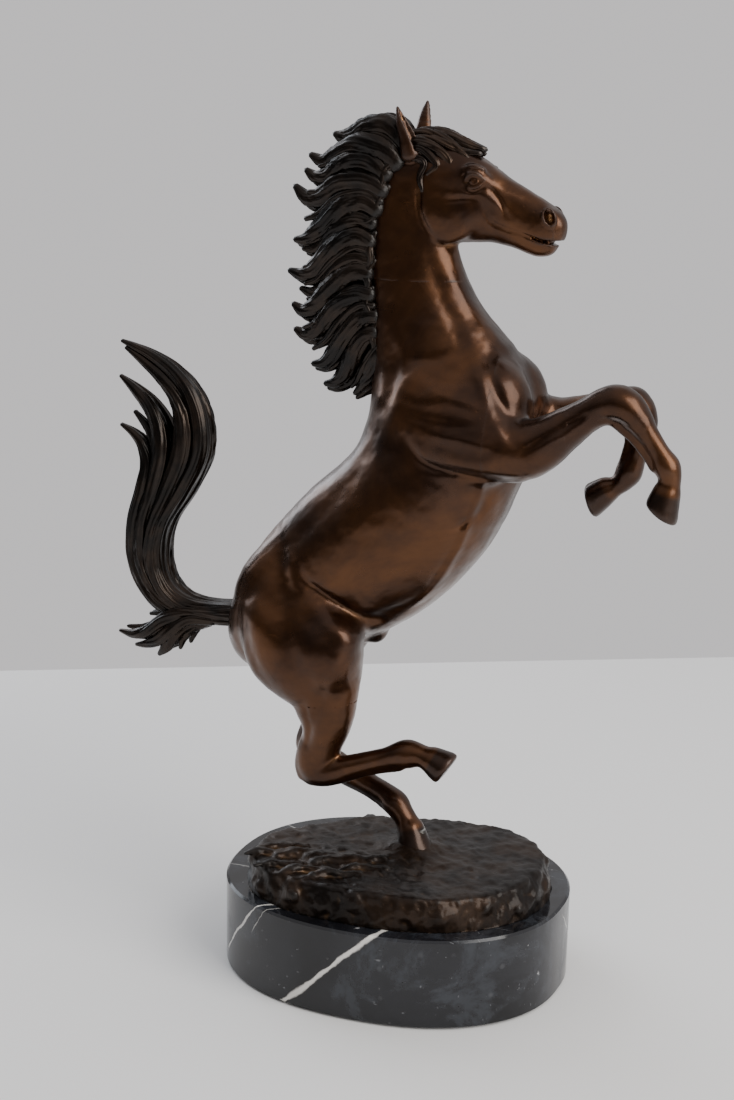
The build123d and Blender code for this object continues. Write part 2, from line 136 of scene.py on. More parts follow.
class Clay:
    """A block of space on an even grid, holding the distance to the surface in millimetres."""

    def __init__(self, low, high, voxel):
        self.voxel = voxel
        self.axes = [
            np.arange(a, b + voxel, voxel, dtype=np.float32) for a, b in zip(low, high)
        ]
        self.field = np.full([len(axis) for axis in self.axes], FAR, np.float32)

    def window(self, low, high):
        """The grid's part between two corners, or None where the grid doesn't reach."""
        picks = []
        for axis, a, b in zip(self.axes, low, high):
            first, last = np.searchsorted(axis, [a, b])
            if last - first < 2:
                return None
            picks.append(slice(int(first), int(last)))
        x, y, z = (axis[pick] for axis, pick in zip(self.axes, picks))
        return tuple(picks), (x[:, None, None], y[None, :, None], z[None, None, :])

    def blank(self, low, high):
        """An empty block on the same grid between two corners, or None outside it."""
        found = self.window(low, high)
        if found is None:
            return None
        block = Clay.__new__(Clay)
        block.picks, block.voxel = found[0], self.voxel
        block.axes = [axis[pick] for axis, pick in zip(self.axes, block.picks)]
        block.field = np.full([len(axis) for axis in block.axes], FAR, np.float32)
        return block

    def join(self, picks, distance, blend):
        """Presses a mass on, with a fillet of about the blend's size."""
        self.field[picks] = soft_union(self.field[picks], distance, blend)

    def cut(self, picks, distance, blend):
        """Cuts a mass away, with its edge rounded by about the blend's size."""
        self.field[picks] = -soft_union(-self.field[picks], distance, blend)

    def limb(self, stations, blend, squareness=2.0, per_span=4, cut=False):
        """A mass lofted along stations (x, y, z, half depth, half width)."""
        rings = spline(stations, per_span)
        centres, depths, widths = rings[:, :3], rings[:, 3], rings[:, 4]
        reach = max(depths.max(), widths.max()) + blend + 1.0
        own = self.blank(centres.min(0) - reach, centres.max(0) + reach)
        if own is None:
            return
        for start, end, depth0, depth1, width0, width1 in zip(
            centres, centres[1:], depths, depths[1:], widths, widths[1:]
        ):
            along = end - start
            length = max(np.linalg.norm(along), 1e-6)
            along = along / length
            across = unit(np.array((0.0, 1.0, 0.0)) - along * along[1])
            deep = np.cross(along, across)
            reach = max(depth0, depth1, width0, width1) + blend + 1.0
            near = own.window(np.minimum(start, end) - reach, np.maximum(start, end) + reach)
            if near is None:
                continue
            inner, (x, y, z) = near
            x, y, z = x - start[0], y - start[1], z - start[2]
            reach_along = x * along[0] + y * along[1] + z * along[2]
            share = np.clip(reach_along / length, 0, 1)
            beyond = reach_along - share * length
            u = (x * across[0] + y * across[1] + z * across[2]) / (width0 + (width1 - width0) * share)
            v = (x * deep[0] + y * deep[1] + z * deep[2]) / (depth0 + (depth1 - depth0) * share)
            w = beyond / (0.8 * min(depth0, width0))
            if squareness == 2.0:
                ratio = np.sqrt(u * u + v * v + w * w)
            else:
                powers = sum(np.abs(part) ** squareness for part in (u, v, w))
                ratio = powers ** (1 / squareness)
            span = np.sqrt(x * x + y * y + z * z - (reach_along - beyond) ** 2)
            distance = span * (1 - 1 / np.maximum(ratio, 0.05))
            own.field[inner] = np.minimum(own.field[inner], distance)
        (self.cut if cut else self.join)(own.picks, own.field, blend)

    def lump(self, centre, radii, blend, pitch=0.0, yaw=0.0, cut=False):
        """An egg of flesh. Pitch tips its length up from +X, and yaw swings it towards +Y."""
        reach = max(radii) + blend + 1.0
        centre = np.array(centre, float)
        found = self.window(centre - reach, centre + reach)
        if found is None:
            return
        picks, (x, y, z) = found
        x, y, z = x - centre[0], y - centre[1], z - centre[2]
        turn = Matrix.Rotation(math.radians(yaw), 3, "Z") @ Matrix.Rotation(math.radians(-pitch), 3, "Y")
        k0, k1 = 0.0, 0.0
        for axis, radius in zip(np.array(turn).T, radii):
            part = (x * axis[0] + y * axis[1] + z * axis[2]) / radius
            k0 = k0 + part * part
            k1 = k1 + (part / radius) ** 2
        k0 = np.sqrt(k0)
        distance = k0 * (k0 - 1) / np.maximum(np.sqrt(k1), 1e-4)
        (self.cut if cut else self.join)(picks, distance, blend)

    def lumps(self, centre, radii, blend, pitch=0.0, yaw=0.0, cut=False):
        """The same egg on both sides of the horse, given for the left side."""
        x, y, z = centre
        self.lump((x, y, z), radii, blend, pitch, yaw, cut)
        self.lump((x, -y, z), radii, blend, pitch, -yaw, cut)

    def stroke(self, points, width, depth, sides=(RIGHT, LEFT)):
        """A tool drawn over the side of the horse along (x, z) points: a crease where the
        depth is above zero and a ridge where it is below, fading out at both ends and at
        the horse's middle."""
        skipped, widest = 1.5, 60.0
        path = spline(points, 5)
        low, high = path.min(0) - 3 * width, path.max(0) + 3 * width
        for side in sides:
            reach = sorted((side * skipped, side * widest))
            found = self.window((low[0], reach[0], low[1]), (high[0], reach[1], high[1]))
            if found is None:
                continue
            picks, (x, y, z) = found
            nearest = np.full((x.shape[0], 1, z.shape[2]), 1e6)
            fade = np.ones_like(nearest)
            count = len(path) - 1
            for index, (start, end) in enumerate(zip(path, path[1:])):
                along = end - start
                length = max(float(along @ along), 1e-9)
                share = np.clip(((x - start[0]) * along[0] + (z - start[1]) * along[1]) / length, 0, 1)
                gap = (x - start[0] - share * along[0]) ** 2 + (z - start[1] - share * along[1]) ** 2
                closer = gap < nearest
                nearest = np.where(closer, gap, nearest)
                place = (index + share) / count
                fade = np.where(closer, np.sin(math.pi * np.clip(place, 0.02, 0.98)) ** 0.6, fade)
            mark = depth * fade * np.exp(-nearest / (width * width))
            off_middle = np.clip((np.abs(y) - skipped) / 4.0, 0, 1)
            self.field[picks] += (mark * off_middle).astype(np.float32)

    def flat(self, point, facing, radius):
        """Cuts the clay off flat beyond a plane, within a ball round the point."""
        point = np.array(point, float)
        facing = unit(facing)
        found = self.window(point - radius, point + radius)
        if found is None:
            return
        picks, (x, y, z) = found
        x, y, z = x - point[0], y - point[1], z - point[2]
        plane = x * facing[0] + y * facing[1] + z * facing[2]
        ball = np.sqrt(x * x + y * y + z * z) - radius
        self.cut(picks, np.maximum(-plane, ball), 1.2)

    def smooth_over(self, size):
        """Works the surface over with a thumb, which takes out steps smaller than the size."""
        for _ in range(round(2 * (size / self.voxel) ** 2)):
            for axis in range(3):
                whole = np.moveaxis(self.field, axis, 0)
                whole[1:-1] = 0.25 * (whole[:-2] + whole[2:]) + 0.5 * whole[1:-1]

    def skin(self):
        """The surface as (points in millimetres, four-cornered faces)."""
        grid = vdb.FloatGrid(background=FAR)
        grid.copyFromArray(np.clip(self.field, -FAR, FAR).astype(np.float32))
        points, quads = grid.convertToQuads(isovalue=0)
        origin = np.array([axis[0] for axis in self.axes])
        return points * self.voxel + origin, quads[:, ::-1]


def surface_normals(points, quads):
    """Smooth outward directions at the points of a mesh."""
    a, b, c, d = (points[quads[:, i]] for i in range(4))
    faces = np.cross(c - a, d - b)
    total = np.zeros_like(points)
    for corner in range(4):
        np.add.at(total, quads[:, corner], faces)
    return unit(total)


def relax(points, quads, rounds, strength=0.5):
    """Evens out the mesh's points without shrinking it much."""
    edges = np.vstack([quads[:, [i, (i + 1) % 4]] for i in range(4)])
    degree = np.bincount(edges.ravel(), minlength=len(points))[:, None]
    for turn in range(rounds * 2):
        total = np.zeros_like(points)
        np.add.at(total, edges[:, 0], points[edges[:, 1]])
        np.add.at(total, edges[:, 1], points[edges[:, 0]])
        step = strength if turn % 2 == 0 else -strength * 1.04
        points = points + step * (total / degree - points)
    return points


def waves(points, size, seed, count=9):
    """A smooth random height at each point, from -1 to 1, with lumps of about that size."""
    draw = np.random.default_rng(seed)
    total = np.zeros(len(points))
    for _ in range(count):
        direction = unit(draw.normal(size=3))
        pitch = 2 * math.pi / (size * draw.uniform(0.7, 1.6))
        bend = unit(draw.normal(size=3))
        phase = draw.uniform(0, 2 * math.pi)
        bow = 1.3 * np.sin(points @ bend * pitch * 0.6 + phase)
        total += np.sin(points @ direction * pitch + phase + bow)
    return total / math.sqrt(count) / 1.5


# ---------------------------------------------------------------- the horse's masses
# Stations (x, y, z, half depth, half width) along each mass, from its root to its end.
TORSO = (
    (-72, 0, 150, 13, 16),
    (-65, 0, 154, 21, 24),
    (-50, 0, 166, 31, 31),
    (-35, 0, 183, 33.5, 32.5),
    (-19, 0, 196, 36.8, 35),
    (-5, 0, 208, 37, 36.5),
    (7, 0, 222, 36.5, 36),
    (15, 0, 238, 36, 33),
    (20, 0, 254, 36.5, 30),
    (20.5, 0, 264, 35.5, 28),
)
NECK = (
    (20, 0, 272, 33, 25),
    (13.2, 0, 287, 27.6, 20),
    (7.8, 0, 300.6, 23.8, 17),
    (3.3, 0, 315, 21.6, 14.8),
    (0.5, 0, 329, 20, 13.2),
    (-1, 0, 343, 18, 11.8),
    (-2, 0, 358, 14.5, 10.2),
    (-1, 0, 366, 9, 7.5),
)
HEAD = (
    (-4, 0, 362, 10, 8),
    (4, 0, 359, 17, 10.5),
    (14, 0, 355.6, 19.8, 12.4),
    (25, 0, 352.3, 18.2, 11.8),
    (37, 0, 348.8, 14.2, 9.4),
    (47, 0, 345.8, 11.9, 7.8),
    (55, 0, 343, 10.4, 7.6),
    (60, 0, 341.6, 8.9, 7.2),
    (62.6, 0, 341, 7.2, 6),
)
RIGHT_FORELEG = (
    (8, -19, 264, 19, 8),
    (27, -23, 258, 18, 11.5),
    (45, -24, 252, 14.5, 12),
    (59, -23.5, 251.5, 11.6, 10.6),
    (74, -22.5, 260.5, 9.2, 8.6),
    (85, -22, 268.5, 7.0, 7),
    (94, -22, 273.5, 7.6, 7.3),
    (101, -22, 273, 7.4, 7.4),
    (106.5, -22, 268, 5.6, 6.2),
    (111, -22, 262, 4.2, 4.7),
    (115.6, -22, 255.5, 4.0, 4.4),
    (119, -22, 250, 5.3, 5.5),
    (120.4, -22, 246, 4.6, 4.8),
    (120.6, -22, 241, 4, 4.4),
)
LEFT_FORELEG = (
    (8, 19, 264, 19, 8),
    (27, 23, 259, 18, 11.5),
    (44, 24, 254, 14.5, 12),
    (58, 24, 255.5, 11.2, 10.2),
    (74, 24, 261.5, 8, 8.2),
    (84, 24, 265, 7, 7),
    (91, 24, 266.5, 7.6, 7.4),
    (97, 24, 264, 7.4, 7.4),
    (99.8, 24, 257.5, 5.4, 6.0),
    (99.2, 24, 250.5, 4.2, 4.7),
    (97, 24, 243.5, 4.0, 4.4),
    (94.6, 24, 237, 5.3, 5.5),
    (92, 24, 233, 4.6, 4.8),
    (88, 24, 229.5, 4, 4.4),
)
RIGHT_HINDLEG = (
    (-54, -15, 184, 20, 12),
    (-46, -21, 172, 26, 15),
    (-38.2, -25, 159.5, 28.5, 16.5),
    (-32, -27, 147, 23.8, 15.5),
    (-27.5, -27, 134, 16.5, 12.5),
    (-26, -26.5, 123.5, 12.2, 10.4),
    (-28, -26, 113, 9.4, 8.4),
    (-31.5, -26, 103.5, 8.6, 7.2),
    (-30, -26, 98.5, 7.4, 6.8),
    (-22, -26, 99.5, 6.4, 6),
    (-12, -26, 103.6, 5.0, 5.2),
    (2, -26, 108.8, 4.8, 5.0),
    (11.5, -26, 112, 6.6, 6.4),
    (16.5, -26, 112.6, 5.4, 5.6),
    (21, -26, 111.6, 4.8, 5.2),
)
LEFT_HINDLEG = (
    (-58, 14, 178, 18, 12),
    (-54, 20, 166, 22, 14.5),
    (-51, 23, 152, 22.5, 15),
    (-47, 24, 139, 17.5, 14),
    (-45.5, 23.5, 126, 13, 11.5),
    (-46, 21.5, 113, 10.6, 10),
    (-46.5, 18.5, 102, 9.2, 8.6),
    (-48.5, 16, 93, 8.4, 7.6),
    (-43, 14, 88.5, 7.8, 7.0),
    (-33, 11.5, 86, 6.6, 6.2),
    (-20, 8, 82.5, 5.2, 5.3),
    (-8, 4.5, 79, 5.2, 5.2),
    (-2.5, 2.5, 76, 6.2, 6.2),
    (1.5, 1, 72, 5.4, 5.5),
    (5, 0, 67.5, 5.2, 5.4),
)
# Tendons behind the fore cannons, then each hock's point and the tendon from it to the fetlock,
# with the blend they are pressed on with.
LEG_TENDONS = (
    ((
        (96, -22, 266, 2, 1.9), (104, -22, 260, 2, 1.9), (110, -22, 253.5, 2, 1.9),
        (113.4, -22, 248.5, 2, 1.9),
    ), 1.6),
    ((
        (88, 24, 259.5, 2, 1.9), (93, 24, 252, 2, 1.9), (91.5, 24, 244, 2, 1.9),
        (89.5, 24, 236, 2, 1.9),
    ), 1.6),
    ((
        (-27, -26, 128, 3.4, 3), (-36, -26, 113, 2.6, 2.2), (-38.5, -26, 101, 3.0, 2.6),
        (-37, -26, 95, 3.4, 3.2),
    ), 2.0),
    ((
        (-34, -26, 93.6, 3.0, 3.2), (-20, -26, 95.4, 1.9, 2), (-4, -26, 101.5, 1.8, 2),
        (9, -26, 106, 2.6, 2.6),
    ), 1.8),
    ((
        (-46, 21.5, 116, 3.4, 3), (-53.5, 18.5, 103, 2.4, 2.2), (-55.5, 16, 95, 2.8, 2.6),
        (-53, 15, 89.5, 3.2, 3),
    ), 2.0),
    ((
        (-50, 14.5, 86, 3, 3), (-34, 11, 80.5, 2, 2), (-18, 7.5, 76.5, 1.9, 2),
        (-4, 3.5, 71.5, 2.6, 2.6),
    ), 1.8),
)
# Each hoof: its coronet's centre and half sizes, its sole's centre and half sizes, and the
# way the sole faces.
HOOVES = (
    ((119.4, -22, 239), (6.0, 6.0), (117, -22, 229.4), (7.8, 7.6), (-0.55, 0, -0.83)),
    ((85, 24, 228.5), (6.0, 6.0), (77, 24, 222.2), (7.8, 7.6), (-0.93, 0, -0.36)),
    ((23.5, -26, 111), (6.2, 6.2), (31, -26, 107.4), (8.4, 8.2), (0.83, 0, -0.55)),
    ((6, -0.5, 66.5), (6.2, 6.2), (9, -2, 57), (8.4, 8.4), (0, 0, -1)),
)
EARS = (
    # the ear, then the bowl scooped out of its front
    (
        (
            (1.5, -8.2, 370.5, 4.6, 4.2), (0.3, -9.2, 376.5, 3.8, 3.6),
            (-2.4, -9.8, 383.5, 2.3, 2.4), (-4.2, -10, 389, 0.7, 0.9),
        ),
        (
            (4.8, -9.4, 373.5, 2.6, 2.2), (3.0, -10.2, 378, 2.4, 1.9),
            (-0.4, -10.6, 383.5, 1.4, 1.2), (-2.8, -10.6, 387.5, 0.5, 0.5),
        ),
    ),
    (
        (
            (1.5, 8.2, 371.5, 4.8, 4.2), (1.4, 9.2, 378.5, 4.2, 3.6), (1.6, 9.8, 385.5, 2.8, 2.4),
            (2.2, 10, 391.5, 0.8, 0.9),
        ),
        (
            (5.2, 9.6, 375.5, 2.8, 2.2), (4.6, 10.2, 380.5, 2.6, 1.9),
            (4.0, 10.6, 385.5, 1.6, 1.2), (3.2, 10.6, 389.5, 0.5, 0.5),
        ),
    ),
)


def both_sides(stations):
    """The stations as given, for the left side, and their mirror for the right."""
    return stations, tuple((x, -y, z, *sizes) for x, y, z, *sizes in stations)


def cords(clay, stations, blend):
    """The same cord or ridge pressed on both sides of the horse."""
    for side in both_sides(stations):
        clay.limb(side, blend)


def model_hoof(clay, coronet, top_sizes, sole, sole_sizes, facing):
    """A hoof that widens from its coronet to a flat sole."""
    reach = 24.0
    block = clay.blank(np.array(sole) - reach, np.array(sole) + reach)
    if block is None:
        return
    # the horn runs on past the sole before the sole is cut flat
    runs_on = 1.8
    beyond = [a + runs_on * (b - a) for a, b in zip(coronet, sole)]
    last = [a + runs_on * (b - a) for a, b in zip(top_sizes, sole_sizes)]
    block.limb(((*coronet, *top_sizes), (*beyond, *last)), 0.5)
    block.flat(sole, facing, 30.0)
    clay.join(block.picks, block.field, 0.8)


def model_trunk(clay):
    """Barrel and neck, with the muscles that stand out from them."""
    clay.limb(TORSO, 0.5)
    clay.limb(NECK, 7.0, 2.1)
    # breast, croup, withers and the sheath under the belly
    clay.lumps((40, 12.5, 268), (19, 15, 18), 6.0, 60)
    clay.lumps((-51, 15, 175), (23, 15, 22), 7.0, 40)
    clay.lumps((-61.5, 11, 160.5), (11.5, 12, 15), 6.0, 60)
    clay.lump((2, 0, 281), (22, 7, 13), 12.0, 110)
    clay.lump((-13.5, 0, 160), (6.5, 5.5, 7), 2.0, 0)


def model_legs(clay):
    """The four legs with their hooves, muscles, joints and tendons."""
    for foreleg in (RIGHT_FORELEG, LEFT_FORELEG):
        clay.limb(foreleg, 8.0)
    for hindleg in (RIGHT_HINDLEG, LEFT_HINDLEG):
        clay.limb(hindleg, 4.0)
    for hoof in HOOVES:
        model_hoof(clay, *hoof)
    # thigh: the muscle over the stifle and the hamstrings behind
    clay.lump((-22, -34, 156), (16, 10.5, 12), 6.0, 72)
    clay.lump((-36, 32, 150), (14, 9, 11), 6.0, 72)
    clay.lump((-50, -29, 160), (19, 9.5, 10), 6.0, -52)
    clay.lump((-60, 26, 160), (18, 9, 9), 6.0, -52)
    clay.lump((-47.5, -26, 148.5), (20, 11, 14), 5.0, -42)
    clay.lump((-53, 26, 150), (17, 10, 12), 5.0, -42)
    # forearm muscles, knee bones and the tendons behind the cannons
    for x, y, z in ((64, -23.5, 252), (64, 24, 254)):
        clay.lump((x, y, z - 3), (15, 9, 7), 3.0, 30)
        clay.lump((x + 4, y * 1.12, z + 5), (14, 6, 5.5), 3.0, 28)
    clay.lump((97.5, -22, 277), (5.5, 5.5, 4), 2.5, 0)
    clay.lump((95, 24, 270), (5, 5.5, 4), 2.5, 0)
    for tendon, blend in LEG_TENDONS:
        clay.limb(tendon, blend)


CHEEK_CREST = ((31, 9.8, 356.4, 1.5, 1.5), (37, 8.8, 353, 1.5, 1.5), (42.5, 7.4, 349.4, 1.3, 1.3))
NOSE_CORD = (
    (38, 7.0, 359, 1.0, 1.0), (41, 6.7, 355, 1.0, 1.0), (44, 6.4, 350, 1.0, 1.0), (52, 6.2, 343.6, 0.9, 0.9),
)
LOWER_JAW = (
    (40, 0, 340, 5.2, 5.6), (48, 0, 337, 4.6, 5.2), (55, 0, 333.8, 3.9, 5.0), (59.5, 0, 333, 3.0, 4.6),
    (62, 0, 333.4, 1.8, 3.4),
)
MOUTH_OPENING = ((54.5, 0, 338, 0.4, 9), (59, 0, 336.6, 0.8, 9), (68, 0, 335.4, 1.3, 9))
TEETH = ((53, 0, 338.4, 1.0, 3.6), (59, 0, 336.9, 1.3, 4.2), (61.8, 0, 336.4, 0.9, 3.6))
UPPER_LID = (
    (26.2, 10.6, 360.2, 0.8, 0.8), (28.4, 11.9, 362.9, 1.0, 1.0), (31.6, 11.7, 363.2, 1.0, 1.0),
    (34.4, 10.2, 360.8, 0.8, 0.8),
)
LOWER_LID = (
    (26.2, 10.6, 360.2, 0.6, 0.6), (28.8, 11.5, 358.0, 0.8, 0.8), (32.0, 11.3, 358.2, 0.8, 0.8),
    (34.4, 10.2, 360.8, 0.6, 0.6),
)
EYEBROW = ((26, 10.2, 364.4, 0.9, 0.9), (29.5, 10.8, 366, 1.1, 1.1), (33.5, 9.6, 365, 0.9, 0.9))


def model_mouth(clay):
    """The mouth a little open, with the teeth inside it."""
    clay.limb(MOUTH_OPENING, 0.5, cut=True)
    clay.limb(TEETH, 0.6)


def model_eyes(clay):
    """Eyes in their sockets, each with a pupil between two lids, under an eyebrow."""
    clay.lumps((30.2, 11.6, 360.6), (4.6, 2.4, 3.0), 1.2, -14, cut=True)
    clay.lumps((30.2, 9.6, 360.4), (3.2, 3.0, 2.8), 0.0)
    clay.lumps((30.8, 12.7, 360.5), (0.8, 0.9, 0.8), 0.3, cut=True)
    cords(clay, UPPER_LID, 0.7)
    cords(clay, LOWER_LID, 0.7)
    cords(clay, EYEBROW, 2.6)


def model_nostrils(clay):
    """Nostrils with a raised rim round each, leaning back as they rise."""
    middle_x, middle_z, thickness = 61.6, 346.6, 0.75
    rim = []
    for angle in np.linspace(0, 2 * math.pi, 9):
        x = middle_x + 2.3 * math.cos(angle) - 0.9 * math.sin(angle)
        z = middle_z + 3.3 * math.sin(angle)
        rim.append((x, 7.3 - 0.25 * (x - 60), z, thickness, thickness))
    cords(clay, rim, 0.6)
    clay.lumps((61.8, 8.0, middle_z), (3.3, 4.2, 2.0), 0.5, 105, cut=True)


def model_head(clay):
    """The head, with the surface smoothed over before its small features are cut."""
    clay.limb(HEAD, 3.0, 2.3)
    # cheeks, brows, cheek bones and the muscles that run down to the lips
    clay.lumps((18, 8.6, 346.6), (14, 4.8, 12.6), 2.0, 0)
    clay.lumps((31, 8.2, 362.3), (7.5, 3.2, 3.6), 2.0, -30)
    clay.lumps((21, 9.4, 356.2), (9.5, 2.8, 2.6), 3.0, -6)
    cords(clay, CHEEK_CREST, 2.4)
    cords(clay, NOSE_CORD, 2.0)
    clay.lumps((59.4, 4.4, 345.8), (4.6, 2.8, 3.8), 2.0, 60)
    clay.limb(LOWER_JAW, 1.6)
    clay.lump((61.6, 0, 339.4), (4.4, 6.0, 3.0), 1.6, 0)
    clay.smooth_over(1.1)
    model_mouth(clay)
    model_eyes(clay)
    model_nostrils(clay)
    for ear, bowl in EARS:
        clay.limb(ear, 1.6)
        clay.limb(bowl, 0.4, cut=True)


def carve(clay):
    """Creases and ridges drawn with a tool, as (x, z) points on the horse's side."""
    # neck: jugular groove, windpipe and the edge of the shoulder
    clay.stroke(((12, 330), (16, 316), (24, 301), (31, 288)), 3.4, 0.9)
    clay.stroke(((18, 327), (26, 314), (35, 301), (46, 289)), 2.8, -0.5)
    clay.stroke(((22, 330), (30, 315), (38, 303), (48, 292)), 1.6, 0.3)
    clay.stroke(((38, 293), (43, 283), (49, 271), (58, 256)), 2.0, 0.9)
    clay.stroke(((32, 297), (39, 282), (46, 270), (55, 257)), 3.0, -0.7)
    # folds of skin across the shoulder
    clay.stroke(((2, 272), (14, 269), (28, 270), (40, 268)), 1.8, 0.45)
    clay.stroke(((14, 281), (26, 278), (38, 279)), 1.6, 0.4)
    clay.stroke(((10, 264), (26, 262), (44, 262)), 2.0, 0.45)
    clay.stroke(((18, 275), (30, 273), (43, 269)), 1.6, -0.35)
    clay.stroke(((20, 257), (36, 256), (50, 254)), 2.2, -0.5)
    clay.stroke(((2, 292), (0, 279), (-1, 266)), 4.0, 0.6)
    clay.stroke(((-2, 300), (4, 288), (6, 276)), 4.0, -0.6)
    clay.stroke(((4, 286), (18, 287), (30, 292)), 2.2, 0.5)
    # behind the shoulder and over the elbow
    clay.stroke(((9, 254), (19, 244.5), (36, 241), (50, 240), (62, 241)), 2.0, 1.5)
    clay.stroke(((20, 250), (36, 246), (52, 246)), 3.5, -0.8)
    # belly: the vein along it, the edge of the chest and the flank
    clay.stroke(((44, 240), (40, 229), (36, 217), (31, 205), (22, 190), (14, 181), (4, 175)), 1.3, -1.1)
    clay.stroke(((44, 232), (38, 221), (28, 215)), 1.6, 0.9)
    clay.stroke(((-40, 197), (-36, 189), (-27, 182.5), (-18, 177), (-8, 171), (0, 171)), 2.8, 2.1)
    clay.stroke(((-8, 171), (2, 176), (15, 181)), 2.6, 1.1)
    clay.stroke(((-34, 182), (-22, 174), (-12, 168), (-6, 160)), 4.8, -1.4)
    clay.stroke(((-45, 202), (-40, 192), (-33, 184)), 4.6, -1.7)
    clay.stroke(((-50, 198), (-46, 184), (-42, 170)), 5.0, 0.9)
    # along the back, over the croup and down the thigh
    clay.stroke(((-6, 262), (-14, 236), (-34, 212), (-54, 190), (-68, 172)), 4.5, 0.9)
    clay.stroke(((-60, 182), (-62, 165), (-56, 148), (-44, 135)), 3.5, 0.8)
    clay.stroke(((-46, 186), (-40, 163), (-35, 143)), 5.0, 0.8)
    clay.stroke(((-14, 160), (-17, 150), (-20, 140)), 4.0, -0.8)
    clay.stroke(((-54, 132), (-44, 129), (-33, 132), (-24, 141)), 4.0, 1.5)
    clay.stroke(((-28, 150), (-26, 140), (-22, 133)), 4.0, 0.6)
    clay.stroke(((-20, 150), (-24, 136), (-30, 120), (-33, 108)), 2.2, 0.7)
    clay.stroke(((-33, 136), (-31, 122), (-35, 108)), 1.8, 0.6)
    # forearm, knee and fetlock
    clay.stroke(((60, 252), (74, 262), (88, 271)), 1.6, 0.7)
    clay.stroke(((90, 268), (97, 268), (104, 266)), 1.4, 0.6, (RIGHT,))
    # jaw, cheek and lips
    clay.stroke(((7, 366), (6.2, 354), (8, 344), (14, 335.5)), 1.7, 1.3)
    clay.stroke(((14, 334), (22, 332.5), (32, 334.5)), 1.6, 0.5)
    clay.stroke(((34, 352), (37, 344.5), (44, 341), (50, 339.5)), 1.2, 0.8)
    clay.stroke(((36, 358), (41, 352.5), (44, 346)), 0.9, 0.7)
    clay.stroke(((50, 339.4), (55, 337.6), (60, 336.2)), 0.8, 0.9)
    clay.stroke(((18, 352), (26, 353), (33, 353.5)), 1.3, 0.5)
    clay.stroke(((24, 364), (29, 365.5), (35, 363.6)), 0.8, 0.4)
    clay.stroke(((26, 357), (30, 355.8), (34, 357.4)), 0.7, 0.45)


def model_body(clay):
    """The whole horse, as far as the block of clay reaches."""
    model_trunk(clay)
    model_legs(clay)
    model_head(clay)
    carve(clay)


# ---------------------------------------------------------------- castings cut from the clay
# Seams as (point, direction, how far round the point the cut reaches).
NECK_SEAM = ((17, 0, 288), (-0.42, 0, 0.91), 46)
HEAD_SEAM = ((5, 0, 354), (0.86, 0, 0.51), 30)
RIGHT_FORE_SEAM = ((62, -23, 253), (0.85, 0, 0.53), 17)
LEFT_FORE_SEAM = ((60, 24, 256), (0.9, 0, 0.44), 16)
RIGHT_HIND_SEAM = ((-27, -27, 132), (0.1, 0, -1), 30)
LEFT_HIND_SEAM = ((-46, 24, 130), (0, 0, -1), 27)


def other_side(seam):
    """The same seam as the casting beyond it sees it."""
    point, facing, reach = seam
    return point, [-part for part in facing], reach


# Each casting: two corners of the block of clay it is cut from, the grid's size, a point on
# it, the CAD nodes it hides, and its seams, each facing away from the casting.
CASTINGS = {
    "torso": (
        (-96, -46, 108), (78, 46, 312), 0.92, (0, -38, 210), ("torso_casting", "core_plugs"),
        [NECK_SEAM, RIGHT_FORE_SEAM, LEFT_FORE_SEAM, RIGHT_HIND_SEAM, LEFT_HIND_SEAM],
    ),
    "neck": (
        (-50, -34, 264), (64, 34, 384), 0.7, (5, -15, 310), ("neck_casting",),
        [other_side(NECK_SEAM), HEAD_SEAM],
    ),
    "head": (
        (-30, -18, 318), (76, 18, 398), 0.42, (50, 0, 356), ("head_casting",),
        [other_side(HEAD_SEAM)],
    ),
    "right_foreleg": (
        (44, -42, 218), (132, -6, 290), 0.6, (110, -22, 262), ("right_foreleg_casting",),
        [other_side(RIGHT_FORE_SEAM)],
    ),
    "left_foreleg": (
        (44, 6, 208), (112, 42, 282), 0.6, (99, 24, 250), ("left_foreleg_casting",),
        [other_side(LEFT_FORE_SEAM)],
    ),
    "right_hindleg": (
        (-56, -46, 84), (44, -8, 148), 0.6, (0, -26, 108), ("right_hindleg_casting",),
        [other_side(RIGHT_HIND_SEAM)],
    ),
    "left_hindleg": (
        (-66, -18, 52), (24, 44, 146), 0.6, (-15, 7, 81), ("left_hindleg_casting",),
        [other_side(LEFT_HIND_SEAM)],
    ),
}


def finished(name, mesh, nodes):
    """Links a mesh as a piece of the statue on the root body and hides the given CAD nodes."""
    made = bpy.data.objects.new(name, mesh)
    bpy.context.scene.collection.objects.link(made)
    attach(made, ROOT)
    if nodes:
        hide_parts(*nodes)
    return made


# Hammered unevenness of the cast skin, as (height, size of its lumps, seed).
SKIN_UNEVENNESS = ((0.09, 9.0, 5), (0.03, 3.5, 6))
SKIN_EVENING = 6
SKIN_WEAR_SMOOTHING = 14
ON_THE_SEAM = 1e-3


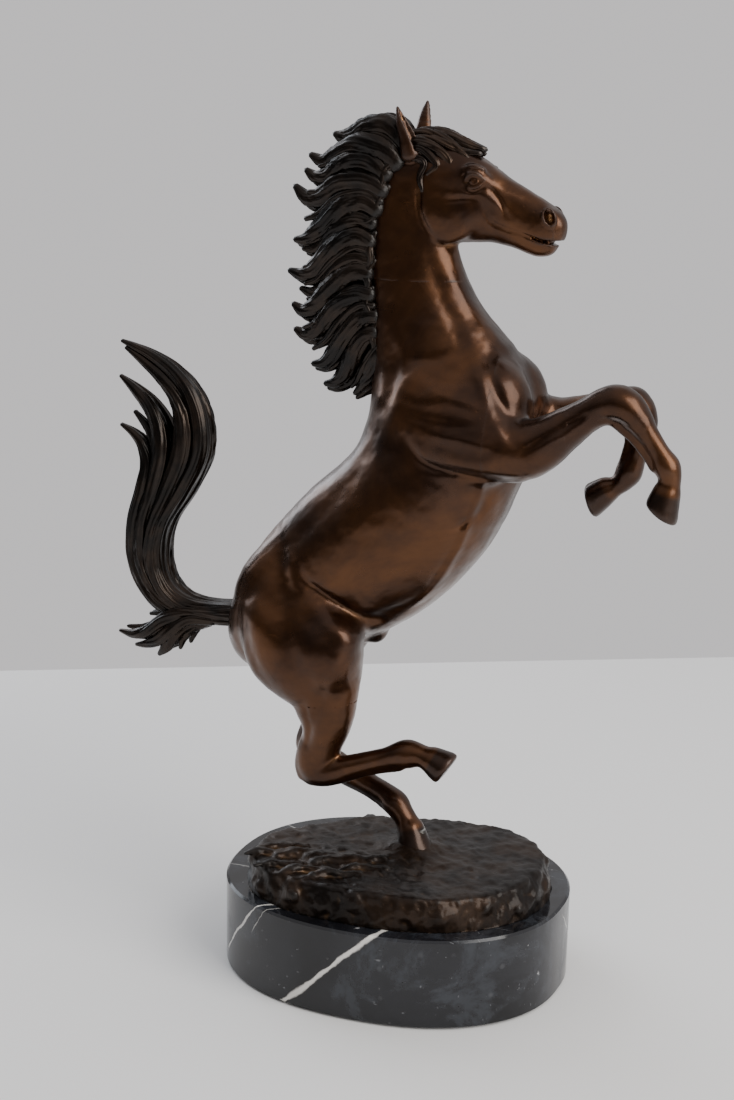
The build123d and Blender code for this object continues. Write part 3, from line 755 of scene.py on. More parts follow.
def cut_at_seams(bm, seams, keep):
    """Keeps the part of a mesh that holds a point, and closes it flat at each seam."""
    for point, facing, reach in seams:
        point, facing = Vector(point), Vector(facing).normalized()
        near = [f for f in bm.faces if (f.calc_center_median() - point).length < reach]
        parts = set(near)
        for face in near:
            parts.update(face.edges)
            parts.update(face.verts)
        bmesh.ops.bisect_plane(bm, geom=list(parts), dist=1e-5, plane_co=point, plane_no=facing)
    crossing = set()
    for point, facing, reach in seams:
        point, facing = Vector(point), Vector(facing).normalized()
        for edge in bm.edges:
            a, b = (vertex.co - point for vertex in edge.verts)
            off = max(abs(a.dot(facing)), abs(b.dot(facing)))
            if off < ON_THE_SEAM and a.length < reach:
                crossing.add(edge)
    keep = Vector(keep)
    start = min(bm.faces, key=lambda face: (face.calc_center_median() - keep).length_squared)
    kept, waiting = {start}, [start]
    while waiting:
        for edge in waiting.pop().edges:
            if edge in crossing:
                continue
            for face in edge.link_faces:
                if face not in kept:
                    kept.add(face)
                    waiting.append(face)
    bmesh.ops.delete(bm, geom=[face for face in bm.faces if face not in kept], context="FACES")
    rims = [edge for edge in bm.edges if edge.is_boundary]
    caps = bmesh.ops.triangle_fill(bm, use_beauty=True, use_dissolve=False, edges=rims)["geom"]
    return [item for item in caps if isinstance(item, bmesh.types.BMFace)]


def horn_on(points):
    """How far each point is into a hoof, from none above its coronet to full below it."""
    hoof_reach = 15.0
    most = np.zeros(len(points))
    for coronet, _, sole, _, _ in HOOVES:
        coronet, sole = np.array(coronet), np.array(sole)
        down = sole - coronet
        along = (points - coronet) @ down / np.linalg.norm(down)
        near = np.linalg.norm(points - (coronet + sole) / 2, axis=1) < hoof_reach
        most = np.maximum(most, np.clip(along / 1.5 + 0.3, 0, 1) * near)
    return most


def cast(name, low, high, voxel, keep, nodes, seams, material):
    """Lifts one casting's skin off the clay and trims it at its seams."""
    clay = Clay(low, high, voxel * COARSE)
    model_body(clay)
    points, quads = clay.skin()
    points = relax(points, quads, SKIN_EVENING)
    uneven = sum(height * waves(points, size, seed) for height, size, seed in SKIN_UNEVENNESS)
    points = points + surface_normals(points, quads) * uneven[:, None]
    bm = bmesh.new()
    normal_layer = bm.verts.layers.float_vector.new("skin_normal")
    wear_layer = bm.verts.layers.float.new("wear")
    horn_layer = bm.verts.layers.float.new("horn")
    rows = zip(
        points.tolist(),
        surface_normals(points, quads).tolist(),
        wear_on(points, quads, SKIN_WEAR_SMOOTHING).tolist(),
        horn_on(points).tolist(),
    )
    corners = []
    for place, normal, worn, horn in rows:
        vertex = bm.verts.new(place)
        vertex[normal_layer] = normal
        vertex[wear_layer] = worn
        vertex[horn_layer] = horn
        corners.append(vertex)
    for quad in quads.tolist():
        bm.faces.new([corners[i] for i in quad])
    caps = set(cut_at_seams(bm, seams, keep))
    loose = [vertex for vertex in bm.verts if not vertex.link_faces]
    bmesh.ops.delete(bm, geom=loose, context="VERTS")
    bm.normal_update()
    loop_normals = []
    for face in bm.faces:
        face.smooth = True
        for vertex in face.verts:
            normal = face.normal if face in caps else vertex[normal_layer].normalized()
            loop_normals.append(tuple(normal))
    bmesh.ops.scale(bm, vec=(MM, MM, MM), verts=bm.verts)
    mesh = bpy.data.meshes.new(name)
    bm.to_mesh(mesh)
    bm.free()
    mesh.attributes.remove(mesh.attributes["skin_normal"])
    mesh.normals_split_custom_set(loop_normals)
    mesh.materials.append(material)
    return finished(name, mesh, nodes)


# ---------------------------------------------------------------- hair
# Every lock of hair is a tapering, grooved strand of wax: stations (x, y, z, half width, half
# thickness) from root to tip.
MANE_LOCKS = (
    (
        (-1, 5, 372, 3.5, 3), (-9, 5.5, 380, 5.6, 4), (-19, 4, 380.5, 4.6, 4),
        (-27, 2, 377.5, 3.2, 3), (-32, 1, 376.8, 2.2, 2), (-36, 0, 378, 0.8, 0.8),
    ),
    (
        (-4, 8, 366, 3.5, 3), (-12, 8, 373, 5.2, 4), (-23, 6, 374, 4.8, 4), (-34, 3, 369, 3.6, 3),
        (-41, 1.5, 366.5, 2.2, 2), (-47, 0, 369, 0.8, 0.8),
    ),
    (
        (-7, 8.5, 360, 3.2, 3), (-16, 8.5, 366, 4.6, 3.6), (-27, 6.5, 366, 4.2, 3.6),
        (-37, 3.5, 360.5, 3.2, 2.6), (-44, 1.5, 359.5, 2, 1.8), (-49, 0, 362.5, 0.8, 0.8),
    ),
    (
        (-9, 9, 354, 3.4, 3), (-18, 9, 359, 5, 3.8), (-30, 6.5, 357.5, 5, 3.6),
        (-40, 3.5, 351, 4, 2.8), (-48, 1.5, 350.5, 2.4, 2), (-54, 0, 355.5, 0.9, 0.8),
    ),
    (
        (-12, 9, 347, 3.4, 3), (-20, 9, 351, 5, 3.6), (-31, 7, 347, 5, 3.6),
        (-41, 3.5, 338, 4, 2.8), (-48, 1.5, 333, 2.4, 2), (-54, 0, 332.5, 0.8, 0.8),
    ),
    (
        (-13, 8.5, 340, 3, 2.6), (-21, 8.5, 342.5, 4, 3.2), (-31, 6, 337.5, 3.8, 3),
        (-39, 3, 331, 2.6, 2), (-45, 1.5, 328.6, 1.6, 1.5), (-50, 0.5, 328.8, 0.7, 0.7),
    ),
    (
        (-14, 9, 333, 3.2, 3), (-22, 9, 335.5, 4.6, 3.6), (-33, 7, 330, 4.4, 3.4),
        (-43, 3.5, 320.5, 3.6, 2.6), (-50, 1.5, 317.5, 2.2, 1.8), (-56.5, 0, 319, 0.8, 0.8),
    ),
    (
        (-14.5, 8.5, 326, 3, 2.6), (-23, 8.5, 327, 4, 3.2), (-33, 6, 320.5, 3.6, 3),
        (-40, 3, 312.5, 2.6, 2), (-46, 1.5, 310, 1.6, 1.5), (-51, 0.5, 311.5, 0.7, 0.7),
    ),
    (
        (-14, 9, 319, 3.2, 3), (-22, 9, 320, 4.4, 3.6), (-32, 7, 314, 4.4, 3.4),
        (-42, 3.5, 304.5, 3.6, 2.6), (-49, 1.5, 301.5, 2.2, 1.8), (-54.5, 0, 304.5, 0.8, 0.8),
    ),
    (
        (-13.5, 9, 311, 3.2, 3), (-21, 9, 311.5, 4.4, 3.6), (-31, 7, 305, 4.4, 3.4),
        (-41, 3.5, 295, 3.6, 2.6), (-48, 1.5, 291.5, 2.2, 1.8), (-53.5, 0, 293.5, 0.8, 0.8),
    ),
    (
        (-12, 9, 303, 3, 2.8), (-19, 9, 302, 4.2, 3.4), (-27, 7, 294, 4.2, 3.2),
        (-34, 3.5, 284.5, 3.4, 2.4), (-39.5, 1.5, 279.5, 2, 1.6), (-45, 0, 278.5, 0.8, 0.8),
    ),
    (
        (-11, 9, 295, 3, 2.8), (-16.5, 8.5, 293, 4.2, 3.2), (-22.5, 6.5, 285, 4.2, 3),
        (-28, 3.5, 276, 3.4, 2.4), (-33.5, 1.5, 271, 2, 1.6), (-39, 0, 270, 0.8, 0.8),
    ),
    (
        (-9, 8.5, 288, 2.8, 2.6), (-12.5, 7.5, 284, 3.8, 3), (-16, 5.5, 278, 3.6, 2.6),
        (-19.5, 3, 272, 2.8, 2), (-22, 1.5, 269, 1.6, 1.4), (-25, 0, 266.5, 0.7, 0.7),
    ),
    (
        (-7, 7, 281, 2.6, 2.4), (-9, 6, 277, 3.2, 2.4), (-11.5, 4, 272, 2.6, 2),
        (-13.5, 2, 268.5, 1.8, 1.4), (-15, 0, 265.5, 0.7, 0.7),
    ),
)
# Fine strands laid over the broad locks, given by their place between two of them.
FINE_STRANDS = ((0.5, 0.9), (0.32, 0.7), (0.7, 0.8))
CURLS = (
    (
        (-3, 8.6, 369, 1.8, 1.5), (-9, 10, 364, 2.4, 2), (-11, 10.4, 357, 2, 1.8),
        (-15, 9.6, 351, 0.8, 0.8),
    ),
    (
        (-8, 9.4, 358, 1.6, 1.5), (-12, 10.4, 352, 2.2, 2), (-13, 10.4, 346, 1.8, 1.6),
        (-17, 9.6, 341, 0.8, 0.8),
    ),
    (
        (-11, 9.4, 345, 1.4, 1.4), (-16, 10.4, 342, 2.0, 1.8), (-20, 10, 344, 1.6, 1.4),
        (-23, 9.4, 348, 0.7, 0.7),
    ),
    (
        (-13, 9.4, 338, 1.4, 1.4), (-15.5, 10.6, 332, 2.2, 1.8), (-15, 10.6, 326, 1.8, 1.6),
        (-18, 9.8, 321, 0.8, 0.8),
    ),
    (
        (-13.5, 9.4, 327, 1.4, 1.4), (-17, 10.6, 321, 2.2, 1.8), (-16, 10.6, 315, 1.8, 1.6),
        (-19, 9.8, 310, 0.8, 0.8),
    ),
    (
        (-13, 9.4, 314, 1.4, 1.4), (-16, 10.6, 308, 2.2, 1.8), (-14.5, 10.6, 302, 1.8, 1.6),
        (-17, 9.8, 297, 0.8, 0.8),
    ),
    (
        (-11, 9.4, 300, 1.4, 1.4), (-14, 10.2, 295, 2.0, 1.6), (-12.5, 9.8, 289, 1.6, 1.4),
        (-14, 8.8, 284, 0.7, 0.7),
    ),
    (
        (-9, 8.8, 289, 1.4, 1.4), (-11, 9.2, 283, 1.8, 1.5), (-10, 8, 277, 1.4, 1.2),
        (-11.5, 6.4, 272, 0.7, 0.7),
    ),
)
TAIL_BUNDLES = (
    (
        (-70, 2, 161, 2.5, 3), (-82, 2.5, 162, 2.8, 4), (-94, 3, 161.4, 3, 4.5),
        (-107, 3.5, 162.6, 3.6, 5), (-117, 3.8, 169.6, 4, 5.6), (-121, 4, 183, 4.2, 6),
        (-118, 4, 200, 4.2, 6), (-107.5, 4, 217, 4.6, 6), (-99.5, 3.6, 234, 5, 5.6),
        (-99.5, 3.2, 249, 4.8, 5), (-104, 2.6, 261, 4.2, 4.4), (-113, 1.8, 270.5, 3.6, 3.4),
        (-124, 1, 277, 2.7, 2.4), (-133, 0.4, 280.6, 1.8, 1.6), (-139.5, 0, 283, 0.9, 0.9),
    ),
    (
        (-70, 3, 160, 2.5, 3), (-82, 4, 161.5, 3, 4), (-94, 4.6, 161, 3, 4),
        (-107, 5, 161.5, 3.6, 4.4), (-117.5, 5.6, 169, 4.2, 5), (-123, 6, 182.5, 4.4, 5),
        (-121, 6, 199.5, 4.4, 5), (-113.5, 6, 217, 5, 5), (-107.2, 5.4, 234, 5.6, 5),
        (-106.5, 4.8, 249, 5, 4.6), (-110.5, 4, 259.5, 4, 3.8), (-118, 2.8, 267.5, 3.2, 3),
        (-128, 1.4, 274.5, 2.3, 2), (-137.5, 0.2, 280, 0.9, 0.9),
    ),
    (
        (-70, 3, 159, 2.5, 3), (-82, 4, 158.5, 3, 4), (-96, 4.6, 158.5, 3, 4),
        (-109, 5, 159.5, 3.6, 4.4), (-120.5, 5.4, 167, 4, 4.6), (-127.4, 5.6, 182, 4.2, 4.8),
        (-126.4, 5.6, 199.5, 4.2, 4.8), (-121, 5.2, 216, 4.6, 4.6), (-117.5, 4.6, 232, 4.8, 4.4),
        (-119, 3.8, 244, 4.4, 3.8), (-124.5, 2.6, 253.5, 3.6, 3), (-132, 1.4, 260.5, 2.6, 2.2),
        (-140.5, 0, 266.8, 0.9, 0.9),
    ),
    (
        (-72, 2.5, 158, 2.5, 3), (-84, 3, 156.5, 3, 4), (-98, 3.6, 156.5, 3, 4),
        (-112, 4, 157.5, 3.6, 4.2), (-124.5, 4.2, 165.5, 3.8, 4.4), (-132.2, 4.4, 181.5, 4, 4.6),
        (-132, 4.4, 199, 4, 4.4), (-128, 4, 214, 4, 4), (-126, 3.2, 226.5, 3.6, 3.2),
        (-129, 2, 235.5, 2.8, 2.4), (-134, 1, 240.4, 2, 1.7), (-140.5, 0, 244, 0.9, 0.9),
    ),
    (
        (-122, 2.5, 208, 2.5, 2.5), (-121.6, 2.5, 224, 3, 2.6), (-123, 2, 237, 2.8, 2.2),
        (-127, 1.2, 244, 2, 1.6), (-133.4, 0.4, 250.6, 0.9, 0.9),
    ),
)
TAIL_TUFT = (
    (
        (-92, 4, 158, 2.6, 3), (-104, 6.6, 159.5, 3.8, 3), (-114, 8, 155, 4, 3),
        (-124, 7, 147.5, 3.6, 2.6), (-133, 5.4, 144.6, 2.4, 1.8), (-141, 4, 145, 0.9, 0.9),
    ),
    (
        (-92, 4, 156.5, 2.6, 3), (-104, 7, 156, 3.8, 3), (-112.5, 8.2, 150, 4, 3),
        (-120.5, 7.4, 143.6, 3.2, 2.4), (-127, 6, 140.6, 2, 1.6), (-132, 5, 139.4, 0.9, 0.9),
    ),
    (
        (-93, 3.6, 155, 2.6, 3), (-103, 6, 153, 3.6, 3), (-110, 7.4, 147, 4, 2.8),
        (-115, 7, 140.6, 3, 2.2), (-119.5, 6, 136.2, 1, 0.9),
    ),
    (
        (-94, 3, 154.6, 2.4, 3), (-102, 5, 151.6, 3, 2.6), (-106.5, 6, 146.6, 2.6, 2),
        (-108.5, 5.6, 140.4, 0.9, 0.9),
    ),
    ((-112, 2, 160, 2, 2), (-119, 2, 156.4, 1.8, 1.6), (-126, 1.6, 154.4, 0.9, 0.9)),
)
FORELOCK = (
    (
        (-4, 1.6, 374.6, 2.6, 2.4), (5, 2.2, 378.6, 3, 2.6), (14, 2.2, 378.2, 2.8, 2.4),
        (23, 1.8, 374.8, 2.2, 1.8), (31.5, 1, 372.8, 0.9, 0.8),
    ),
    (
        (-4, 5, 373.1, 2.6, 2.4), (5, 5.8, 376.6, 2.8, 2.4), (14, 5.8, 375.2, 2.6, 2),
        (22.5, 4.4, 371.8, 2, 1.6), (30.5, 3, 371.2, 0.9, 0.8),
    ),
    (
        (-2, 7, 372.6, 2, 2), (6, 8, 375.2, 2.2, 1.8), (13.5, 8.6, 372.2, 2, 1.6),
        (18.6, 9, 368, 1.6, 1.3), (19, 9.6, 365.8, 0.7, 0.7),
    ),
    (
        (-1, 8, 370.6, 2, 1.8), (5.4, 9.2, 372.6, 2, 1.6), (11.4, 9.8, 369, 1.8, 1.4),
        (13.6, 10.4, 366, 1.4, 1.2), (9.6, 11, 362.4, 0.7, 0.7),
    ),
    (
        (0, 8.4, 369, 1.8, 1.6), (4.6, 9.8, 369.6, 1.8, 1.5), (7.8, 10.4, 367, 1.6, 1.3),
        (6.4, 10.8, 361, 1.3, 1.1), (8, 11, 355.4, 0.7, 0.7),
    ),
    (
        (-3, 4, 376.6, 2, 1.8), (7, 4.6, 378.6, 2.2, 1.8), (16, 4.8, 376.2, 2, 1.6),
        (23, 5.6, 371.2, 1.4, 1.3), (27, 5.8, 368.2, 0.7, 0.7),
    ),
)


BROAD_GROOVE, FINE_GROOVE = 0.24, 0.12
THINNEST_STRAND = 0.35


def grooves(strands, seed, share, turn):
    """How full a lock is round its turn and along it, from the grooves between its strands."""
    wander = 0.35 * np.sin(2 * math.pi * 1.4 * share + seed) + 0.15 * np.sin(9 * share + 2.3 * seed)
    broad = np.abs(np.cos(0.5 * strands * (turn + wander) + seed)) ** 0.7
    fine = np.abs(np.cos(0.5 * (2 * strands + 3) * (turn + 1.3 * wander) + 1.7 * seed))
    fade = np.clip(share * 5, 0.3, 1) * np.clip((1 - share) * 4, 0.3, 1)
    return 1 - fade * (BROAD_GROOVE * (1 - broad) + FINE_GROOVE * (1 - fine))


def tube_faces(count, around):
    """The faces of a closed tube of rings, with its root and tip points after the rings."""
    first = np.arange(around)
    second = np.roll(first, -1)
    here = np.arange(count - 1)[:, None] * around
    there = here + around
    quads = np.stack([here + first, there + first, there + second, here + second], -1).reshape(-1, 4)
    root, tip, last = count * around, count * around + 1, (count - 1) * around
    fans = [(root, a, b, b) for a, b in zip(first, second)]
    fans += [(tip, last + b, last + a, last + a) for a, b in zip(first, second)]
    return np.vstack([quads, np.array(fans)])


def lock(stations, strands, seed, around=36, per_span=6):
    """One lock as a closed skin of points and faces: strands run along it between grooves."""
    rings = spline(stations, per_span)
    centres = rings[:, :3]
    along = unit(np.gradient(centres, axis=0))
    outward = np.zeros_like(along)
    outward[:, 1] = math.copysign(1.0, stations[1][1])
    outward = unit(outward - along * (outward * along).sum(1, keepdims=True))
    across = np.cross(outward, along)
    share = np.linspace(0, 1, len(rings))[:, None]
    turn = np.linspace(0, 2 * math.pi, around, endpoint=False)[None, :]
    size = grooves(strands, seed, share, turn)
    half_width, half_thickness = np.maximum(rings[:, 3:5], THINNEST_STRAND).T[..., None]
    flat = half_width * size * np.cos(turn)
    deep = half_thickness * size * np.sin(turn)
    skin = centres[:, None] + flat[..., None] * across[:, None] + deep[..., None] * outward[:, None]
    root = centres[0] - along[0] * half_width[0] * 0.6
    tip = centres[-1] + along[-1] * half_width[-1] * 0.8
    return np.vstack([skin.reshape(-1, 3), root, tip]), tube_faces(len(rings), around)


def fuller(stations, body=1.15, tip=1.6):
    """The same lock with more wax on it, most of all near its tip."""
    made = []
    for (x, y, z, width, thickness), share in zip(stations, np.linspace(0, 1, len(stations))):
        made.append((x, y, z, width * (body + (tip - body) * share**2), thickness * body))
    return made


def hair_both_sides(locks):
    """The locks on the left side as given, then their mirrors, which lie a little differently."""
    made = []
    for index, stations in enumerate(locks):
        made.append(stations)
        lean = 0.8 * math.sin(2.1 * index)
        mirrored = []
        for (x, y, z, *sizes), share in zip(stations, np.linspace(1, 0, len(stations))):
            mirrored.append((x + lean * share, -max(y, 0.3), z - lean * share, *sizes))
        made.append(tuple(mirrored))
    return made


def strand_between(first, second, share, size):
    """A thinner lock part of the way from one lock to the next, standing a little proud."""
    proud = 1.5
    made = []
    for a, b in zip(first, second):
        x, y, z, width, thickness = (p + (q - p) * share for p, q in zip(a, b))
        made.append((x, y + math.copysign(proud, y), z, width * size * 0.55, thickness * size * 0.6))
    return made[:-1]


def hair(name, locks, nodes, material):
    """Many locks gathered into one casting: locks are (stations, strands)."""
    points, faces, total = [], [], 0
    for index, (stations, strands) in enumerate(locks):
        lock_points, lock_faces = lock(stations, strands, 1.7 * index + 0.4)
        points.append(lock_points)
        faces.append(lock_faces + total)
        total += len(lock_points)
    points, faces = np.vstack(points), np.vstack(faces)
    mesh = bpy.data.meshes.new(name)
    rows = [tuple(row[:3]) if row[2] == row[3] else tuple(row) for row in faces.tolist()]
    mesh.from_pydata((points * MM).tolist(), [], rows)
    mesh.shade_smooth()
    mark_wear(mesh, points, faces)
    mesh.materials.append(material)
    return finished(name, mesh, nodes)


def cast_mane():
    """Broad locks, thinner strands between them, curls by the neck and a core under the crest."""
    mane = [(fuller(broad_lock), 11) for broad_lock in hair_both_sides(MANE_LOCKS)]
    for side in range(2):
        row = hair_both_sides(MANE_LOCKS)[side::2]
        for index, (first, second) in enumerate(zip(row, row[1:])):
            if len(first) == len(second):
                share, size = FINE_STRANDS[index % len(FINE_STRANDS)]
                mane.append((strand_between(first, second, share, size), 5))
    mane += [(curl, 5) for curl in hair_both_sides(CURLS)]
    for broad_lock in MANE_LOCKS[:-1]:
        core = [
            (x * 0.96 - 0.2, 0.6, z - 2.0, width * 1.35, thickness * 1.3)
            for x, _, z, width, thickness in broad_lock
        ]
        mane.append((core, 9))
    hair("mane", mane, ("mane_casting",), dark_bronze)


def cast_tail():
    """Long bundles that sweep up behind the horse, with a tuft below where they turn."""
    bundles = [(bundle, 9) for bundle in hair_both_sides(TAIL_BUNDLES)]
    tufts = [(tuft, 7) for tuft in hair_both_sides(TAIL_TUFT)]
    hair("tail", bundles + tufts, ("tail_casting",), dark_bronze)


def cast_forelock():
    """Locks blown forward over the poll and down in front of the ears."""
    strands = [(fuller(strand, 1.1, 1.3), 7) for strand in hair_both_sides(FORELOCK)]
    hair("forelock", strands, ("forelock_casting",), rubbed_bronze)


def wear_on(points, faces, smoothing=3):
    """Where hands have rubbed the crests (above a half) and where dirt stays (below a half)."""
    around = np.zeros_like(points)
    shares = np.zeros(len(points))
    for a, b in ((0, 1), (1, 2), (2, 3), (3, 0)):
        for here, there in ((faces[:, a], faces[:, b]), (faces[:, b], faces[:, a])):
            shares += np.bincount(here, minlength=len(points))
            for axis in range(3):
                around[:, axis] += np.bincount(here, points[there, axis], minlength=len(points))
    normals = surface_normals(points, faces)
    away = points - around / np.maximum(shares, 1)[:, None]
    step = np.linalg.norm(points[faces[:, 0]] - points[faces[:, 1]], axis=1).mean()
    curve = (away * normals).sum(1) / step**2
    for _ in range(smoothing):
        gathered = np.zeros(len(points))
        for a, b in ((0, 1), (1, 2), (2, 3), (3, 0)):
            gathered += np.bincount(faces[:, a], curve[faces[:, b]], minlength=len(points))
            gathered += np.bincount(faces[:, b], curve[faces[:, a]], minlength=len(points))
        curve = 0.4 * curve + 0.6 * gathered / np.maximum(shares, 1)
    return np.clip(0.5 + 1.6 * curve, 0, 1).astype(np.float32)


def mark_wear(mesh, points, faces):
    """Keeps the wear with the mesh, for its finish to read."""
    wear = mesh.attributes.new("wear", "FLOAT", "POINT")
    wear.data.foreach_set("value", wear_on(points, faces))


# ---------------------------------------------------------------- bronze ground
# Outlines (x, y) of the ground where it meets the marble and at its upper edge.
GROUND_FOOT = (
    (-66, -22), (-56, -42), (-36, -54), (-14, -58), (12, -57.5), (36, -52), (56, -39), (69, -20),
    (72, 4), (64, 28), (46, 40), (20, 43), (-8, 38), (-32, 26), (-52, 10), (-64, -6),
)
GROUND_BROW = (
    (-60, -24), (-52, -43), (-34, -52), (-13, -55), (12, -55), (34, -51), (53, -36), (65, -19),
    (68, 2), (60, 25), (43, 36), (19, 38), (-8, 33), (-30, 21), (-48, 5), (-59, -9),
)
GROUND_FACE = 58.0
GROUND_BOTTOM = 42.0
GROUND_MIDDLE = np.array((3.0, -10.0))
KNOBS = 26
ROPES = 11
# Roughness of the ground as (height, size of its lumps, seed).
GROUND_ROUGHNESS = ((0.6, 11.0, 21), (0.3, 5.0, 22), (0.13, 2.2, 23))


def ground_reach(outline, angle):
    """How far an outline of the ground lies from its middle in the directions asked for."""
    closed = spline(outline + outline[:1], 8) - GROUND_MIDDLE
    turn = np.arctan2(closed[:, 1], closed[:, 0])
    order = np.argsort(turn)
    return np.interp(angle, turn[order], np.linalg.norm(closed, axis=1)[order], period=2 * math.pi)


def block_out_ground(clay):
    """A low mound with leaning sides. Its face lies in long folds that run in from behind the
    horse, dips in front and swells up round the standing hoof."""
    x, y, z = clay.axes[0][:, None, None], clay.axes[1][None, :, None], clay.axes[2][None, None, :]
    angle = np.arctan2(y - GROUND_MIDDLE[1], x - GROUND_MIDDLE[0])
    radius = np.hypot(x - GROUND_MIDDLE[0], y - GROUND_MIDDLE[1])
    foot, brow = ground_reach(GROUND_FOOT, angle), ground_reach(GROUND_BROW, angle)
    rise = np.clip((z - GROUND_BOTTOM) / (GROUND_FACE - GROUND_BOTTOM), 0, 1)
    side = radius - (foot + (brow - foot) * rise)
    folds = 0.8 * np.sin(0.13 * y + 0.05 * x + 0.8 * np.sin(0.06 * x))
    folds += 0.4 * np.sin(0.09 * x - 0.15 * y)
    swell = 6.5 * np.exp(-(((x - 8) ** 2 + (y + 2) ** 2) / 100) ** 0.8)
    dish = -1.4 * np.exp(-((x - 36) ** 2 + (y + 22) ** 2) / 900)
    face = z - (GROUND_FACE - 0.8 + folds * np.clip((12 - x) / 60, 0.25, 1) + swell + dish)
    clay.field = np.clip(-soft_union(-side, -face, 2.4), -FAR, FAR).astype(np.float32)


def press_knobs(clay):
    """Knobs of wax pressed on round the ground's side."""
    set_in = 2.2
    for step in range(KNOBS):
        around = 2 * math.pi * (step + 0.35 * math.sin(5.1 * step)) / KNOBS
        reach = ground_reach(GROUND_FOOT, around) - set_in
        x, y = GROUND_MIDDLE + reach * np.array((math.cos(around), math.sin(around)))
        height = GROUND_BOTTOM + 4 + 6 * (0.5 + 0.5 * math.sin(3.7 * step))
        size = 1.9 + 0.8 * math.sin(2.3 * step)
        pitch, yaw = 25 * math.sin(1.9 * step), math.degrees(around) + 90
        clay.lump((x, y, height), (size * 2.6, size, size * 1.5), 4.0, pitch, yaw)


def press_ropes(clay):
    """Ropes of wax laid over the ground's face behind the standing hoof."""
    for step in range(ROPES):
        x, y = -52 + 4.68 * step, -34 + 11 * math.sin(2.2 * step)
        rope = [(x - 9, y - 4, 57.6), (x - 3, y + 1, 58.4), (x + 4, y + 2.5, 58.2), (x + 10, y + 6, 57.6)]
        clay.limb([(*spot, 1.0, 1.6) for spot in rope], 3.0)


def cast_ground():
    """The rough ground under the horse, calmer on its face than down its sides."""
    clay = Clay((-76, -66, 38), (82, 52, 74), 0.8 * COARSE)
    block_out_ground(clay)
    press_knobs(clay)
    press_ropes(clay)
    points, quads = clay.skin()
    points = relax(points, quads, 1)
    normals = surface_normals(points, quads)
    rough = sum(height * waves(points, size, seed) for height, size, seed in GROUND_ROUGHNESS)
    calm = 0.45 * np.clip(normals[:, 2], 0, 1) + 0.2 * np.clip((points[:, 0] + 20) / 70, 0, 1)
    points = points + normals * (rough * (1 - calm))[:, None]
    points[:, 2] = np.maximum(points[:, 2], GROUND_BOTTOM)
    mesh = bpy.data.meshes.new("ground")
    mesh.from_pydata((points * MM).tolist(), [], quads.tolist())
    mesh.shade_smooth()
    mark_wear(mesh, points, quads)
    mesh.materials.append(rough_bronze)
    return finished("ground", mesh, ("ground_casting",))


# ---------------------------------------------------------------- finishes
def new_group(name, inputs, outputs):
    """A node group with named inputs and outputs, ready for its nodes."""
    group = bpy.data.node_groups.new(name, "ShaderNodeTree")
    for socket, kind, value in inputs:
        made = group.interface.new_socket(socket, in_out="INPUT", socket_type=kind)
        made.default_value = value
    for socket, kind in outputs:
        group.interface.new_socket(socket, in_out="OUTPUT", socket_type=kind)
    start = group.nodes.new("NodeGroupInput")
    finish = group.nodes.new("NodeGroupOutput")
    return group, start.outputs, finish.inputs


class Bench:
    """Lays out nodes in one tree; a number or a socket can be given for every input."""

    def __init__(self, tree):
        self.tree = tree

    def feed(self, socket, value):
        if isinstance(value, bpy.types.NodeSocket):
            self.tree.links.new(value, socket)
        else:
            socket.default_value = value

    def node(self, kind, settings=None, **values):
        made = self.tree.nodes.new(kind)
        for name, value in (settings or {}).items():
            setattr(made, name, value)
        for name, value in values.items():
            self.feed(made.inputs[name.replace("_", " ")], value)
        return made

    def noise(self, place, scale, detail=4.0, roughness=0.55, distortion=0.0):
        return self.node(
            "ShaderNodeTexNoise",
            Vector=place, Scale=scale, Detail=detail, Roughness=roughness, Distortion=distortion,
        ).outputs["Fac"]

    def math(self, work, a, b=0.0, c=0.0, clamp=False):
        made = self.tree.nodes.new("ShaderNodeMath")
        made.operation, made.use_clamp = work, clamp
        for socket, value in zip(made.inputs, (a, b, c)):
            self.feed(socket, value)
        return made.outputs[0]

    def ramp(self, value, low, high, start=0.0, end=1.0):
        made = self.tree.nodes.new("ShaderNodeMapRange")
        made.interpolation_type = "SMOOTHSTEP"
        for socket, given in zip(made.inputs, (value, low, high, start, end)):
            self.feed(socket, given)
        return made.outputs[0]

    def mix(self, share, a, b, blend="MIX"):
        made = self.tree.nodes.new("ShaderNodeMix")
        made.data_type, made.blend_type = "RGBA", blend
        self.feed(made.inputs[0], share)
        self.feed(made.inputs[6], a)
        self.feed(made.inputs[7], b)
        return made.outputs[2]

    def place(self):
        return self.node("ShaderNodeTexCoord").outputs["Object"]

    def group(self, group, **values):
        made = self.tree.nodes.new("ShaderNodeGroup")
        made.node_tree = group
        for name, value in values.items():
            self.feed(made.inputs[name.replace("_", " ")], value)
        return made.outputs


